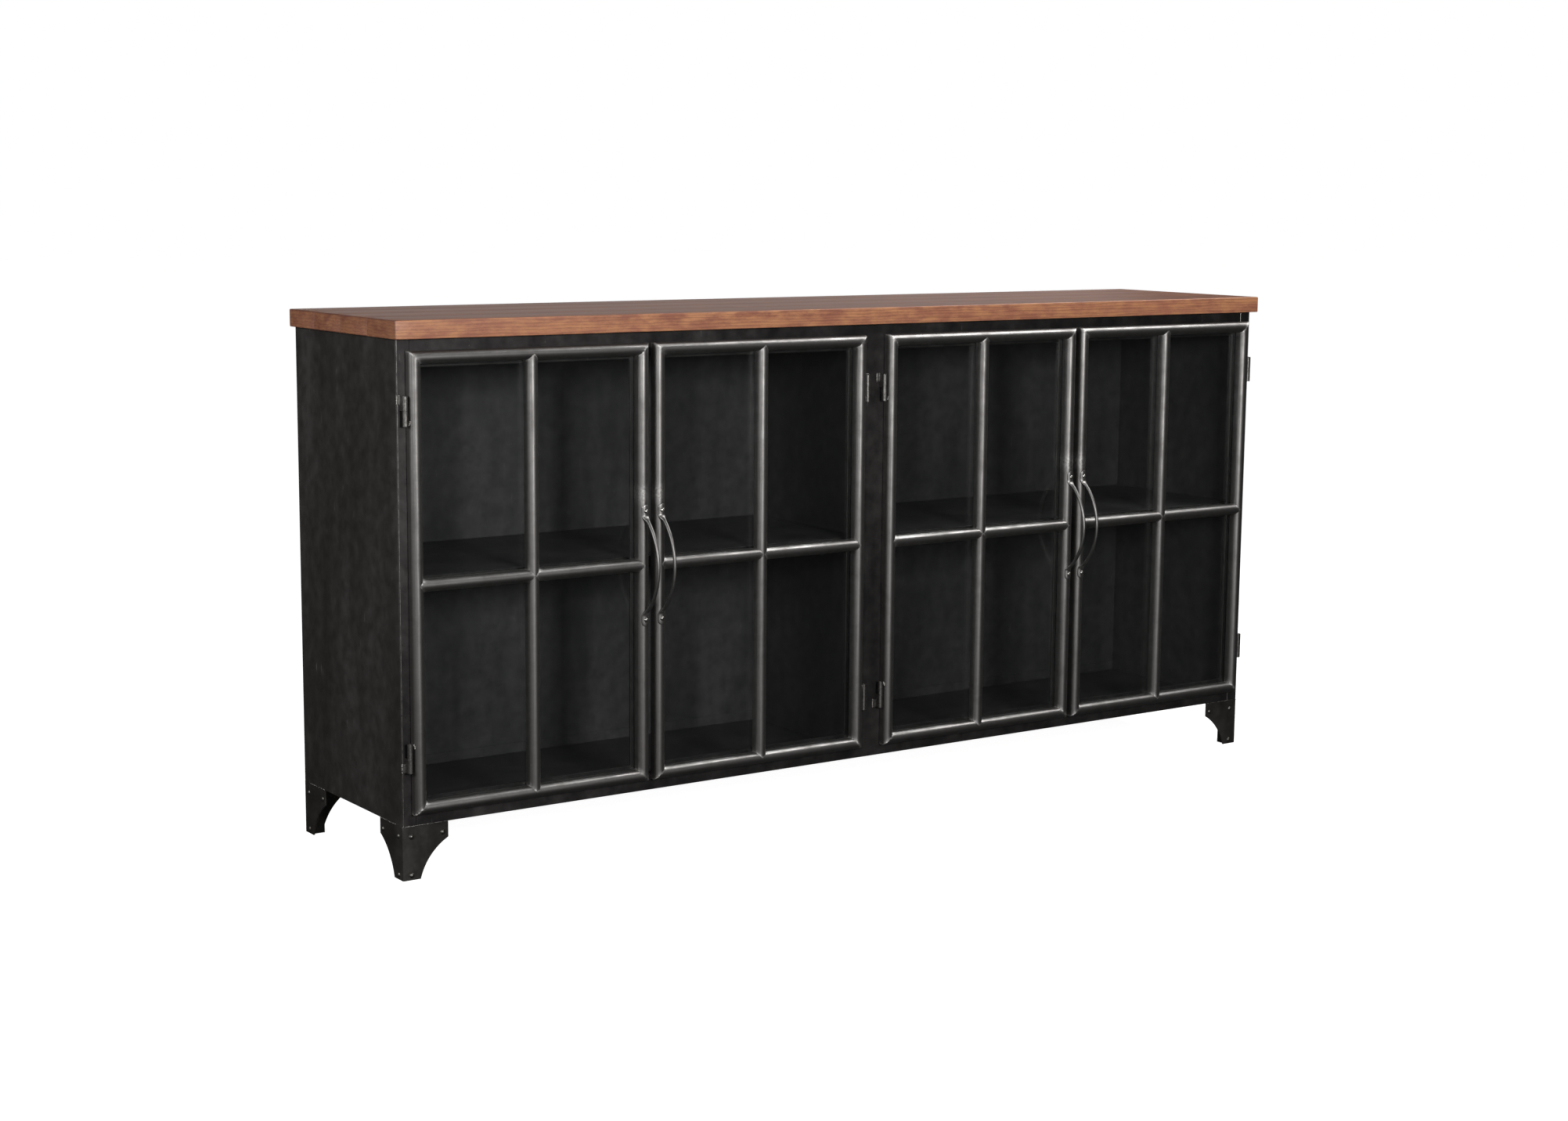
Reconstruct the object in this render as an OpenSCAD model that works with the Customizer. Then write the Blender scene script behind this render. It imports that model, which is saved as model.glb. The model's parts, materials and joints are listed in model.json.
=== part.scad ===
// Sideboard buffet: a steel carcass on four gusseted feet, a plank top and four
// glazed doors in two pairs, each hung on two barrel hinges.
// Millimetres, +Z up, front towards -Y. The origin is on the floor, midway
// between the ends and midway between the back of the top and the handle fronts.

/* [Overall] */
// Width of the wooden top
top_w = 1900; // [1500:10:2300]
// Depth of the wooden top
top_d = 406; // [320:2:500]
// Height of the upper face above the floor
total_h = 914; // [740:2:1100]

/* [Wooden top] */
// Thickness of the planks
top_t = 30; // [20:1:45]
// Number of planks glued edge to edge
plank_count = 4; // [2:1:6]
// Overhang past each end of the body
end_over = 7; // [2:1:25]
// Overhang past the front of the body
front_over = 16; // [6:1:19]
// Overhang past the back of the body
back_over = 8; // [2:1:25]
// Number of fixing screws in a row
top_screw_count = 4; // [2:1:6]
// Distance of the end screws from the ends of the top
top_screw_inset = 150; // [60:5:250]

/* [Carcass] */
// Thickness of the side, back, floor and roof sheets
sheet_t = 1.5; // [1:0.1:3]
// Depth of the face frame tubes
frame_d = 25; // [18:1:40]
// Wall of the face frame tubes
frame_wall = 2; // [1:0.5:3]
// How far the back panel is set in from the rear edge
back_inset = 8; // [2:1:20]
// Height of the flange folded up along the back of the floor pan
pan_flange = 18; // [10:1:30]
// Thickness of the centre partition
partition_t = 2; // [1:0.5:4]

/* [Face frame margins] */
// Frame that shows beside each outer door
stile_show = 16.5; // [15.6:0.1:40]
// Frame that shows between the two middle doors
centre_show = 50; // [44:1:90]
// Frame that shows above the doors
top_show = 19; // [8:1:40]
// Frame that shows below the doors
bottom_show = 20; // [8:1:40]
// How far a closed door laps over the frame around its opening
door_lap = 8.5; // [4:0.5:9]

/* [Shelves] */
// Height of the shelf surface above the floor
shelf_z = 497; // [300:1:600]
// Height of the lip folded down along the front and back of a shelf
shelf_lip = 20; // [12:1:30]
// Distance of the shelf behind the face frame
shelf_setback = 3; // [1:1:20]
// Leg of the angle cleats that carry the shelves
cleat_w = 15; // [10:1:25]
// Thickness of the cleats
cleat_t = 2; // [1:0.5:4]
// Distance of the cleats from the front and back of the shelf
cleat_inset = 14; // [5:1:40]

/* [Feet] */
// Height of the body above the floor
leg_h = 91; // [70:1:120]
// Length of a gusset plate along the body
gusset_w = 83; // [60:1:120]
// Width of a gusset plate at the floor
gusset_foot = 32; // [27:1:45]
// Straight height of the gusset's free edge
gusset_edge = 27; // [10:1:45]
// Radius of the hollow curve of the gusset
gusset_r = 103; // [95:1:160]
// Thickness of the gusset plates
gusset_t = 2.5; // [1.5:0.5:4]
// Width of the square leg tube inside each gusset
leg_tube = 22; // [20:1:26]
// Wall of the leg tube
leg_wall = 2; // [1:0.5:3]
// Diameter of the rivet shanks
rivet_d = 5; // [3:0.5:6]
// Diameter of the rivet heads
rivet_head = 9; // [6:0.5:10]
// Distance of the inner rivets from the corner
rivet_near = 16; // [14:0.5:20]
// Distance of the outer rivet from the plate's free edge
rivet_far = 10; // [7:0.5:14]
// Distance of the upper rivets from the top of the gusset
rivet_top = 18; // [10:1:22]
// Height of the lowest rivet above the floor
rivet_low = 8; // [6:0.5:14]

/* [Doors] */
// Clearance between a door's back and the face frame
door_gap = 1; // [0.5:0.5:3]
// Gap between the two doors of a pair
pair_gap = 11.5; // [3:0.5:20]
// Width of the half-round bars
bar_w = 21; // [17:0.5:26]
// Depth of the flat sides of the bars, before the half round
bar_flat = 9.5; // [7:0.5:14]
// Wall of the bars
bar_wall = 1.5; // [1:0.5:2]
// Steel left between two muntins that meet from either side
muntin_web = 1.2; // [0.8:0.2:3]
// Thickness of the glass
glass_t = 3; // [3:0.5:5]
// Distance of the glass edge inside the door's edge
glass_inset = 13; // [12:0.5:16]
// Distance of the glazing stop inside the door's edge
stop_inset = 10.5; // [10:0.5:11.5]
// Width of the glazing stop
stop_w = 16.5; // [13:0.5:22]
// Thickness of the glazing stop behind the glass
stop_t = 4; // [2:0.5:6]

/* [Hinges] */
// Outer diameter of the knuckles
knuckle_d = 9.5; // [8:0.5:10]
// Diameter of the pin
pin_d = 5; // [4:0.5:6]
// Radial clearance of the pin in the door's knuckle
pin_clear = 0.05; // [0.02:0.01:0.09]
// Length of one knuckle
knuckle_len = 24; // [16:1:35]
// Gap between the two knuckles of a hinge
knuckle_gap = 0.4; // [0.2:0.1:1]
// Distance of the hinge axis from the door's edge
hinge_out = 6; // [5.5:0.5:7]
// Distance of the hinge axis in front of the face frame
hinge_proud = 11; // [9:0.5:12]
// Distance of the hinges from the top and bottom of the door
hinge_inset = 95; // [50:1:150]
// Thickness of the rolled straps
strap_t = 2.5; // [1.5:0.5:3]
// Height of the welded tab at the end of a strap
tab_h = 14; // [8:1:16]
// Length of the welded tab on the face frame
tab_w = 7; // [4:0.5:8]

/* [Handles] */
// Distance between the two handle screws
handle_pitch = 187; // [120:1:240]
// Reach of the bow in front of the door's bar
handle_reach = 45; // [30:1:55]
// Diameter of the bow
handle_rod = 6; // [5:0.5:9]
// Width of the flattened ends
pad_w = 14; // [10:0.5:16]
// Length of the flattened ends
pad_len = 28; // [20:1:32]
// How far the middle of a flattened end lies inside its screw
pad_shift = 3; // [0:0.5:5]
// Distance from a screw to the root of the bow
bow_root = 12.5; // [8:0.5:13]
// Thickness of the flattened ends
pad_t = 2.4; // [1.5:0.1:4]
// Shank of the handle screws
handle_screw_d = 4; // [3:0.5:5]

/* [Catches] */
// Distance of each catch from the middle of its pair of doors
catch_offset = 57; // [40:1:90]
// Width of the catch and of its strike
catch_w = 20; // [14:1:30]
// Height of the spring tongue above the bottom rail
catch_h = 14; // [10:0.5:20]
// Gap between the tongue and the closed door's strike
catch_gap = 0.6; // [0.4:0.1:2]

/* [Hidden] */
$fn = 64;
eps = 1;

DOORS = ["left", "mid_left", "mid_right", "right"];
DOOR_PARTS = ["frame", "muntins", "glass", "glazing_stop", "handle", "handle_screws", "knuckles", "strike"];
CORNERS = ["front_left", "front_right", "rear_left", "rear_right"];
SIDES = ["left", "right"];

// body
cab_w = top_w - 2 * end_over;
cab_d = top_d - front_over - back_over;
body_top = total_h - top_t;
bar_d = bar_flat + bar_w / 2;
front_reach = door_gap + bar_d + handle_reach;
face_y = (front_reach - (top_d - front_over)) / 2;
rear_y = face_y + cab_d;
inner_x = cab_w / 2 - sheet_t;
inner_front = face_y + frame_d;
inner_back = rear_y - back_inset - sheet_t;

// doors, with their bottom left corner as seen from the front
door_w = (cab_w - 2 * stile_show - centre_show - 2 * pair_gap) / 4;
door_z = leg_h + bottom_show;
door_h = body_top - top_show - door_z;
outer_edge = cab_w / 2 - stile_show;
HINGE_X = [-outer_edge, -centre_show / 2, centre_show / 2, outer_edge];
HINGE_SIDE = [1, -1, 1, -1];
axis_x = -hinge_out;
axis_y = -(hinge_proud - door_gap);
lower_hinge_z = hinge_inset;
upper_hinge_z = door_h - hinge_inset;

// face frame
stile_w = stile_show + door_lap - sheet_t;
centre_w = centre_show + 2 * door_lap;
top_rail_h = top_show + door_lap;
bottom_rail_h = bottom_show + door_lap;

// wooden top
plank_w = top_d / plank_count;
top_front = face_y - front_over;
top_screw_x = top_w / 2 - top_screw_inset;
TOP_SCREW_Y = [top_front + frame_d + front_over + 12, inner_back - 25];
top_screw_d = 4;
top_screw_len = 16;

// gusset curve: a circle through the free edge's lower end and the foot's corner
gusset_low = leg_h - gusset_edge;
chord = norm([gusset_w - gusset_foot, gusset_low]);
chord_dir = [gusset_w - gusset_foot, gusset_low] / chord;
curve_drop = sqrt(gusset_r * gusset_r - chord * chord / 4);
curve_centre = [
    (gusset_w + gusset_foot) / 2 + chord_dir[1] * curve_drop,
    gusset_low / 2 - chord_dir[0] * curve_drop
];
RIVETS = [
    [rivet_near, leg_h - rivet_top],
    [gusset_w - rivet_far, leg_h - rivet_top],
    [rivet_near, rivet_low]
];

// handle bow: a circle through its middle and its two ends
bow_end_z = handle_pitch / 2 - bow_root;
bow_end_y = pad_t + 0.8;
bow_rise = handle_reach - handle_rod / 2 - bow_end_y;
bow_r = (bow_end_z * bow_end_z + bow_rise * bow_rise) / (2 * bow_rise);
bow_half = asin(bow_end_z / bow_r);

// catches
pair_x = centre_show / 2 + door_w + pair_gap / 2;
stop_back = glass_t + stop_t;
strike_t = 1.5;
catch_y = face_y - door_gap + stop_back + strike_t + catch_gap;
catch_z = door_z - bottom_show + bottom_rail_h;
catch_screw_d = 3;
CATCH_X = [for (s = [-1, 1]) for (o = [-1, 1]) s * pair_x + o * catch_offset];

steel = [0.21, 0.21, 0.22];
bright_steel = [0.42, 0.42, 0.42];

// ---------- shared shapes ----------

// rectangular tube, open at both ends along the given axis (0, 1 or 2)
module box_tube(size, wall, along) {
    inner = [for (i = [0:2]) i == along ? size[i] + 2 * eps : size[i] - 2 * wall];
    shift = [for (i = [0:2]) i == along ? -eps : wall];
    difference() {
        cube(size);
        translate(shift) cube(inner);
    }
}

// low domed head standing on the plane z = 0
module domed_head(d, h) {
    r = (h * h + d * d / 4) / (2 * h);
    intersection() {
        translate([0, 0, h - r]) sphere(r);
        cylinder(d = d + eps, h = h + eps);
    }
}

// the same shape drawn on both ends
module both_ends() {
    children();
    mirror([1, 0, 0]) children();
}

// turns a shape drawn along +Z so that it points to -Y
module facing_front() {
    rotate([90, 0, 0]) children();
}

// flat polygon in X and Z made into a block that runs right through a door bar
module plan_block(points) {
    translate([0, bar_d + eps, 0])
    facing_front() linear_extrude(2 * bar_d + 4 * eps) polygon(points);
}

// ---------- carcass ----------

module top_planks() {
    color([0.55, 0.33, 0.25])
    difference() {
        for (i = [0:plank_count - 1]) {
            translate([-top_w / 2, top_front + i * plank_w, body_top])
            cube([top_w, plank_w, top_t]);
        }
        at_top_screws() cylinder(d = top_screw_d, h = top_screw_len);
    }
}

module at_top_screws() {
    for (i = [0:top_screw_count - 1]) {
        for (y = TOP_SCREW_Y) {
            x = -top_screw_x + i * 2 * top_screw_x / (top_screw_count - 1);
            translate([x, y, body_top]) children();
        }
    }
}

module top_screws() {
    color(bright_steel)
    at_top_screws() {
        translate([0, 0, -sheet_t]) cylinder(d = top_screw_d, h = top_screw_len + sheet_t);
        translate([0, 0, -sheet_t]) mirror([0, 0, 1]) domed_head(9, 2.6);
    }
}

module roof_sheet() {
    color(steel)
    difference() {
        translate([-inner_x, inner_front, body_top - sheet_t])
        cube([2 * inner_x, inner_back - inner_front, sheet_t]);
        at_top_screws() translate([0, 0, -sheet_t - eps]) cylinder(d = top_screw_d, h = sheet_t + 2 * eps);
    }
}

module back_panel() {
    color(steel)
    translate([-inner_x, inner_back, leg_h])
    cube([2 * inner_x, sheet_t, body_top - leg_h]);
}

module floor_pan() {
    color(steel) {
        translate([-inner_x, inner_front, leg_h])
        cube([2 * inner_x, inner_back - inner_front, sheet_t]);
        translate([-inner_x, inner_back - sheet_t, leg_h])
        cube([2 * inner_x, sheet_t, pan_flange + sheet_t]);
    }
}

module centre_partition() {
    color(steel)
    translate([-partition_t / 2, inner_front, leg_h + sheet_t])
    cube([partition_t, inner_back - sheet_t - inner_front, body_top - leg_h - 2 * sheet_t]);
}

module side_panel() {
    color(steel)
    translate([inner_x, face_y, leg_h])
    cube([sheet_t, cab_d, body_top - leg_h]);
}

module shelf() {
    front = inner_front + shelf_setback;
    depth = inner_back - shelf_setback - front;
    x0 = partition_t / 2 + 0.5;
    w = inner_x - 0.5 - x0;
    color(steel) {
        translate([x0, front, shelf_z - sheet_t]) cube([w, depth, sheet_t]);
        for (y = [front, front + depth - sheet_t]) {
            translate([x0, y, shelf_z - shelf_lip]) cube([w, sheet_t, shelf_lip]);
        }
    }
}

module shelf_cleats() {
    front = inner_front + shelf_setback + cleat_inset;
    depth = inner_back - shelf_setback - cleat_inset - front;
    under = shelf_z - sheet_t;
    color(steel)
    both_ends() {
        for (side = [0, 1]) {
            wall_x = side == 0 ? partition_t / 2 : inner_x;
            translate([wall_x, front, under])
            mirror([side, 0, 0]) {
                translate([0, 0, -cleat_w]) cube([cleat_t, depth, cleat_w]);
                translate([0, 0, -cleat_t]) cube([cleat_w, depth, cleat_t]);
            }
        }
    }
}

module face_stile() {
    color(steel)
    translate([inner_x - stile_w, face_y, leg_h])
    box_tube([stile_w, frame_d, body_top - leg_h], frame_wall, 2);
}

module face_stile_centre() {
    z0 = leg_h + bottom_rail_h;
    color(steel)
    translate([-centre_w / 2, face_y, z0])
    box_tube([centre_w, frame_d, body_top - top_rail_h - z0], frame_wall, 2);
}

module face_rail(z, h) {
    color(steel)
    translate([stile_w - inner_x, face_y, z])
    box_tube([2 * (inner_x - stile_w), frame_d, h], frame_wall, 0);
}

module face_rail_top() {
    face_rail(body_top - top_rail_h, top_rail_h);
}

module face_rail_bottom() {
    color(steel)
    difference() {
        face_rail(leg_h, bottom_rail_h);
        at_catch_screws() translate([0, 0, -frame_wall - eps]) cylinder(d = catch_screw_d, h = frame_wall + 2 * eps);
    }
}

// ---------- feet ----------

// puts a foot drawn in the corner x > 0, y > 0 on corner number i of the body
module on_corner(i) {
    side = i % 2 == 0 ? -1 : 1;
    rear = i > 1;
    translate([side * cab_w / 2, rear ? rear_y : face_y, 0])
    mirror([side == 1 ? 1 : 0, 0, 0])
    mirror([0, rear ? 1 : 0, 0])
    children();
}

// draws on the front plate, then on the side plate
module both_plates() {
    facing_front() mirror([0, 0, 1]) children();
    mirror([1, -1, 0]) facing_front() mirror([0, 0, 1]) children();
}

module at_rivets() {
    both_plates() for (p = RIVETS) translate([p[0], p[1], 0]) children();
}

module gusset_plate() {
    linear_extrude(gusset_t)
    difference() {
        square([gusset_w, leg_h]);
        translate(curve_centre) circle(r = gusset_r, $fn = 180);
        translate([gusset_w / 2, -eps]) square([gusset_w, eps]);
    }
}

module foot_gusset() {
    color(steel)
    difference() {
        both_plates() gusset_plate();
        at_rivets() translate([0, 0, -eps]) cylinder(d = rivet_d, h = gusset_t + 2 * eps, $fn = 24);
    }
}

module leg_tubes() {
    color(steel)
    for (i = [0:3]) {
        on_corner(i)
        difference() {
            translate([gusset_t, gusset_t, 0]) box_tube([leg_tube, leg_tube, leg_h], leg_wall, 2);
            at_rivets() cylinder(d = rivet_d, h = gusset_t + leg_wall + eps, $fn = 24);
        }
    }
}

// head outside, shank through plate and tube wall, flat tail inside
module rivet(grip) {
    mirror([0, 0, 1]) domed_head(rivet_head, rivet_head * 0.28);
    cylinder(d = rivet_d, h = grip, $fn = 24);
    translate([0, 0, grip]) cylinder(d = rivet_d + 1.5, h = 1.5, $fn = 24);
}

module foot_rivets() {
    color(bright_steel)
    for (i = [0:3]) {
        on_corner(i)
        both_plates()
        for (p = RIVETS) {
            in_tube = p[0] < gusset_t + leg_tube;
            translate([p[0], p[1], 0]) rivet(in_tube ? gusset_t + leg_wall : gusset_t);
        }
    }
}

// ---------- hinges, drawn on a door hung on its left edge ----------

// moves a shape drawn on a left-hung door to door number i
module on_door(i) {
    translate([HINGE_X[i], face_y - door_gap, door_z])
    mirror([HINGE_SIDE[i] == 1 ? 0 : 1, 0, 0])
    children();
}

// upper and lower hinge; the lower one is turned over
module at_hinges() {
    translate([axis_x, axis_y, upper_hinge_z]) children();
    translate([axis_x, axis_y, lower_hinge_z]) mirror([0, 0, 1]) children();
}

// fixed half: a rolled strap whose tail runs back to the face frame
module frame_knuckle() {
    r = knuckle_d / 2;
    translate([0, 0, knuckle_gap / 2])
    difference() {
        union() {
            cylinder(r = r, h = knuckle_len, $fn = 48);
            translate([-r, 0, 0]) cube([strap_t, hinge_proud, knuckle_len]);
            translate([-r - tab_w + strap_t, hinge_proud - strap_t, knuckle_len - tab_h])
            cube([tab_w, strap_t, tab_h]);
        }
        translate([0, 0, -eps]) cylinder(d = pin_d, h = knuckle_len + 2 * eps, $fn = 48);
    }
}

module frame_knuckles() {
    color(steel)
    for (i = [0:3]) on_door(i) at_hinges() frame_knuckle();
}

// moving half: the strap's tail runs sideways to the door's edge
module door_knuckle() {
    r = knuckle_d / 2;
    bore = pin_d / 2 + pin_clear;
    translate([0, 0, -knuckle_gap / 2 - knuckle_len])
    difference() {
        union() {
            cylinder(r = r, h = knuckle_len, $fn = 48);
            translate([0, r - strap_t, 0]) cube([hinge_out, strap_t, tab_h]);
        }
        translate([0, 0, -eps]) cylinder(r = bore, h = knuckle_len + 2 * eps, $fn = 48);
    }
}

module hinge_pins() {
    reach = knuckle_len - 3;
    color(bright_steel)
    for (i = [0:3]) {
        on_door(i)
        at_hinges()
        translate([0, 0, -reach - knuckle_gap / 2])
        cylinder(d = pin_d, h = reach + knuckle_gap + knuckle_len, $fn = 48);
    }
}

// ---------- doors, drawn hung on their left edge, back on y = 0 ----------

// outline of a half-round bar, its outer side on x = 0
module bar_outline(wall) {
    r = bar_w / 2;
    translate([wall, -bar_flat]) square([bar_w - 2 * wall, bar_flat - wall]);
    translate([r, -bar_flat]) intersection() {
        circle(r = r - wall);
        translate([-r, -r]) square([bar_w, r]);
    }
}

module bar_profile() {
    difference() {
        bar_outline(0);
        bar_outline(bar_wall);
    }
}

// a straight length along +Z with both ends mitred towards the inside
module mitred(len, w) {
    intersection() {
        linear_extrude(len) children();
        plan_block([[0, 0], [w, w], [w, len - w], [0, len]]);
    }
}

// four mitred lengths around the door
module around_door() {
    reach = bar_w + stop_w + stop_inset;
    mitred(door_h, reach) children();
    translate([door_w, 0, 0]) mirror([1, 0, 0]) mitred(door_h, reach) children();
    mirror([1, 0, -1]) mitred(door_w, reach) children();
    translate([0, 0, door_h]) mirror([0, 0, 1]) mirror([1, 0, -1]) mitred(door_w, reach) children();
}

// plan of a muntin of the given clear length, with a mitred point at each end
function muntin_plan(len) = let (r = bar_w / 2, w = muntin_web / 2) [
    [-r, 0], [-w, w - r], [w, w - r], [r, 0],
    [r, len], [w, len + r - w], [-w, len + r - w], [-r, len]
];

module upright_place() {
    translate([door_w / 2, 0, bar_w]) children();
}

module crossbar_places() {
    for (side = [0, 1]) {
        translate([side * door_w, 0, door_h / 2])
        mirror([side, 0, 0])
        translate([bar_w, 0, 0])
        mirror([1, 0, -1])
        children();
    }
}

upright_len = door_h - 2 * bar_w;
crossbar_len = door_w / 2 - 1.5 * bar_w;

module muntin(len) {
    intersection() {
        translate([-bar_w / 2, 0, -bar_w]) linear_extrude(len + 2 * bar_w) bar_profile();
        plan_block(muntin_plan(len));
    }
}

module door_frame() {
    color(steel)
    difference() {
        around_door() bar_profile();
        upright_place() plan_block(muntin_plan(upright_len));
        crossbar_places() plan_block(muntin_plan(crossbar_len));
        at_handle_screws() translate([0, 0, -bar_flat]) cylinder(d = handle_screw_d, h = 2 * bar_flat, $fn = 24);
    }
}

module door_muntins() {
    color(steel) {
        difference() {
            upright_place() muntin(upright_len);
            crossbar_places() plan_block(muntin_plan(crossbar_len));
        }
        crossbar_places() muntin(crossbar_len);
    }
}

module door_glass() {
    color([0.75, 0.82, 0.82, 0.3])
    translate([glass_inset, 0, glass_inset])
    cube([door_w - 2 * glass_inset, glass_t, door_h - 2 * glass_inset]);
}

// angle that holds the glass against the back of the bars
module stop_profile() {
    translate([stop_inset, 0]) square([glass_inset - stop_inset, stop_back]);
    translate([stop_inset, glass_t]) square([stop_w, stop_t]);
}

module door_glazing_stop() {
    color(steel) around_door() stop_profile();
}

// ---------- handles, drawn with z = 0 at mid height on the crest of the bar ----------

module handle_place() {
    translate([door_w - bar_w / 2, -bar_d, door_h / 2]) children();
}

module at_handle_screws() {
    handle_place()
    for (s = [-1, 1]) translate([0, 0, s * handle_pitch / 2]) facing_front() children();
}

module handle_pad() {
    flat = pad_len - pad_w;
    translate([0, 1.2, 0])
    facing_front()
    linear_extrude(pad_t + 1.2) {
        square([pad_w, flat], center = true);
        for (s = [-1, 1]) translate([0, s * flat / 2]) circle(d = pad_w);
    }
}

module door_handle() {
    color(bright_steel)
    handle_place()
    difference() {
        union() {
            for (s = [-1, 1]) translate([0, 0, s * (handle_pitch / 2 - pad_shift)]) handle_pad();
            translate([0, bow_r - handle_reach + handle_rod / 2, 0])
            rotate([0, 90, 0])
            rotate([0, 0, 180 + 90 - bow_half])
            rotate_extrude(angle = 2 * bow_half, $fn = 180)
            translate([bow_r, 0]) circle(d = handle_rod, $fn = 32);
        }
        translate([0, bar_w / 2, -door_h]) cylinder(d = bar_w, h = 2 * door_h);
        for (s = [-1, 1]) {
            translate([0, bar_flat, s * handle_pitch / 2])
            facing_front() cylinder(d = handle_screw_d, h = 3 * bar_flat, $fn = 24);
        }
    }
}

module door_handle_screws() {
    color(bright_steel)
    at_handle_screws() {
        translate([0, 0, -6]) cylinder(d = handle_screw_d, h = pad_t + 6, $fn = 24);
        difference() {
            translate([0, 0, pad_t]) domed_head(8, 2.6);
            translate([-4, -0.5, pad_t + 1.4]) cube([8, 1, 2]);
        }
    }
}

module door_knuckles() {
    color(steel) at_hinges() door_knuckle();
}

// plate on the back of the glazing stop that meets the spring tongue
module door_strike() {
    from_edge = catch_offset - pair_gap / 2;
    color(bright_steel)
    translate([door_w - from_edge - catch_w / 2, stop_back, stop_inset + 1])
    cube([catch_w, strike_t, stop_w - 3]);
}

// ---------- catches on the bottom rail ----------

module at_catches() {
    for (x = CATCH_X) translate([x, catch_y, catch_z]) children();
}

module at_catch_screws() {
    at_catches()
    for (s = [-1, 1]) translate([s * catch_w * 0.3, (frame_d - (catch_y - face_y)) * 0.6, 0]) children();
}

module door_catches() {
    depth = frame_d - (catch_y - face_y);
    color(bright_steel)
    difference() {
        at_catches() {
            translate([-catch_w / 2, 0, 0]) cube([catch_w, depth, strike_t]);
            translate([-catch_w * 0.3, 0, 0]) cube([catch_w * 0.6, strike_t, catch_h]);
            translate([-catch_w * 0.3, 0, catch_h - strike_t]) cube([catch_w * 0.6, depth * 0.3, strike_t]);
        }
        at_catch_screws() translate([0, 0, -eps]) cylinder(d = catch_screw_d, h = strike_t + 2 * eps, $fn = 24);
    }
}

module catch_screws() {
    color(bright_steel)
    at_catch_screws() {
        translate([0, 0, -frame_wall - 3]) cylinder(d = catch_screw_d, h = frame_wall + 3 + strike_t, $fn = 24);
        translate([0, 0, strike_t]) domed_head(5.5, 1.8);
    }
}

// ---------- nodes ----------

top_planks();
top_screws();
roof_sheet();
back_panel();
floor_pan();
centre_partition();
shelf_cleats();
face_stile_centre();
face_rail_top();
face_rail_bottom();
leg_tubes();
foot_rivets();
frame_knuckles();
hinge_pins();
door_catches();
catch_screws();

for (i = [0:1]) {
    mirror([1 - i, 0, 0]) {
        side_panel();
        shelf();
        face_stile();
    }
}

for (i = [0:3]) {
    on_corner(i) foot_gusset();
}

for (i = [0:3]) {
    on_door(i) {
        door_frame();
        door_muntins();
        door_glass();
        door_glazing_stop();
        door_handle();
        door_handle_screws();
        door_knuckles();
        door_strike();
    }
}
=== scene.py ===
# %% [markdown]
# # A glazed steel sideboard with a plank top
# The object is a blackened steel carcass on four gusseted feet, with a hardwood top and four glazed doors.
# The measured model comes in first as a fixed frame. Every piece made below takes its place from it.

# %% Load the measured frame
import json
import math

import bmesh
import bpy
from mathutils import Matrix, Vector, noise


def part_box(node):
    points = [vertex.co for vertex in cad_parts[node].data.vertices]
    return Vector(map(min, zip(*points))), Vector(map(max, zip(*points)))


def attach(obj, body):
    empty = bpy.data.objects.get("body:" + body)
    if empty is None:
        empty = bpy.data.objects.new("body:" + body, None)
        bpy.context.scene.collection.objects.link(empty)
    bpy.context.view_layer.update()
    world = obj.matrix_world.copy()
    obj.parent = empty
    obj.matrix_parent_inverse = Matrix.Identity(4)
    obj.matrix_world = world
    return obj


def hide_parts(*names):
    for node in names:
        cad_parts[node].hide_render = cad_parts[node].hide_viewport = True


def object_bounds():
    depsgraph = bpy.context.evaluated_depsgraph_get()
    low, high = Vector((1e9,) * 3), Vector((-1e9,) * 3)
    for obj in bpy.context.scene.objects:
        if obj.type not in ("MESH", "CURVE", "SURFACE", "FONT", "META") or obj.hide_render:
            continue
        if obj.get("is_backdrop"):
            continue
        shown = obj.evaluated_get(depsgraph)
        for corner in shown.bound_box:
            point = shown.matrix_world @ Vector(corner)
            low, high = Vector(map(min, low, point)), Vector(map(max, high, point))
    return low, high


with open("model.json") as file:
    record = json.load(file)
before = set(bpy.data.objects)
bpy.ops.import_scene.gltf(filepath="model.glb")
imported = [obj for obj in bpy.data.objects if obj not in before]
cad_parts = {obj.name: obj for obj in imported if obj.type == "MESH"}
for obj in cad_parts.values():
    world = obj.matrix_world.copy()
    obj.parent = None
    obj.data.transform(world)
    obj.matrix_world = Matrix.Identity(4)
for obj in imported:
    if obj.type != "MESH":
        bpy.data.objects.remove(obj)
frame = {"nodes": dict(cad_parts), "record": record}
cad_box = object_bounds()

MM = 0.001
DOORS = ("left", "mid_left", "mid_right", "right")
CORNERS = ("front_left", "front_right", "rear_left", "rear_right")
HINGED_LEFT = {"left": True, "mid_left": False, "mid_right": True, "right": False}

# %% [markdown]
# ## One helper for colours and one for nodes
# Paint charts and screens give colours as sRGB hex values, but light is added up in linear values.
# One function turns the first into the second. One more adds a shader or geometry node, sets it and links it,
# so that each finish below reads as a short list of steps.

# %% Colour and node helpers
def linear(hex_colour):
    """'#rrggbb' in sRGB as a linear colour with alpha 1."""
    channels = [int(hex_colour[i:i + 2], 16) / 255 for i in (1, 3, 5)]
    return tuple(c / 12.92 if c <= 0.04045 else ((c + 0.055) / 1.055) ** 2.4 for c in channels) + (1.0,)


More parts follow.
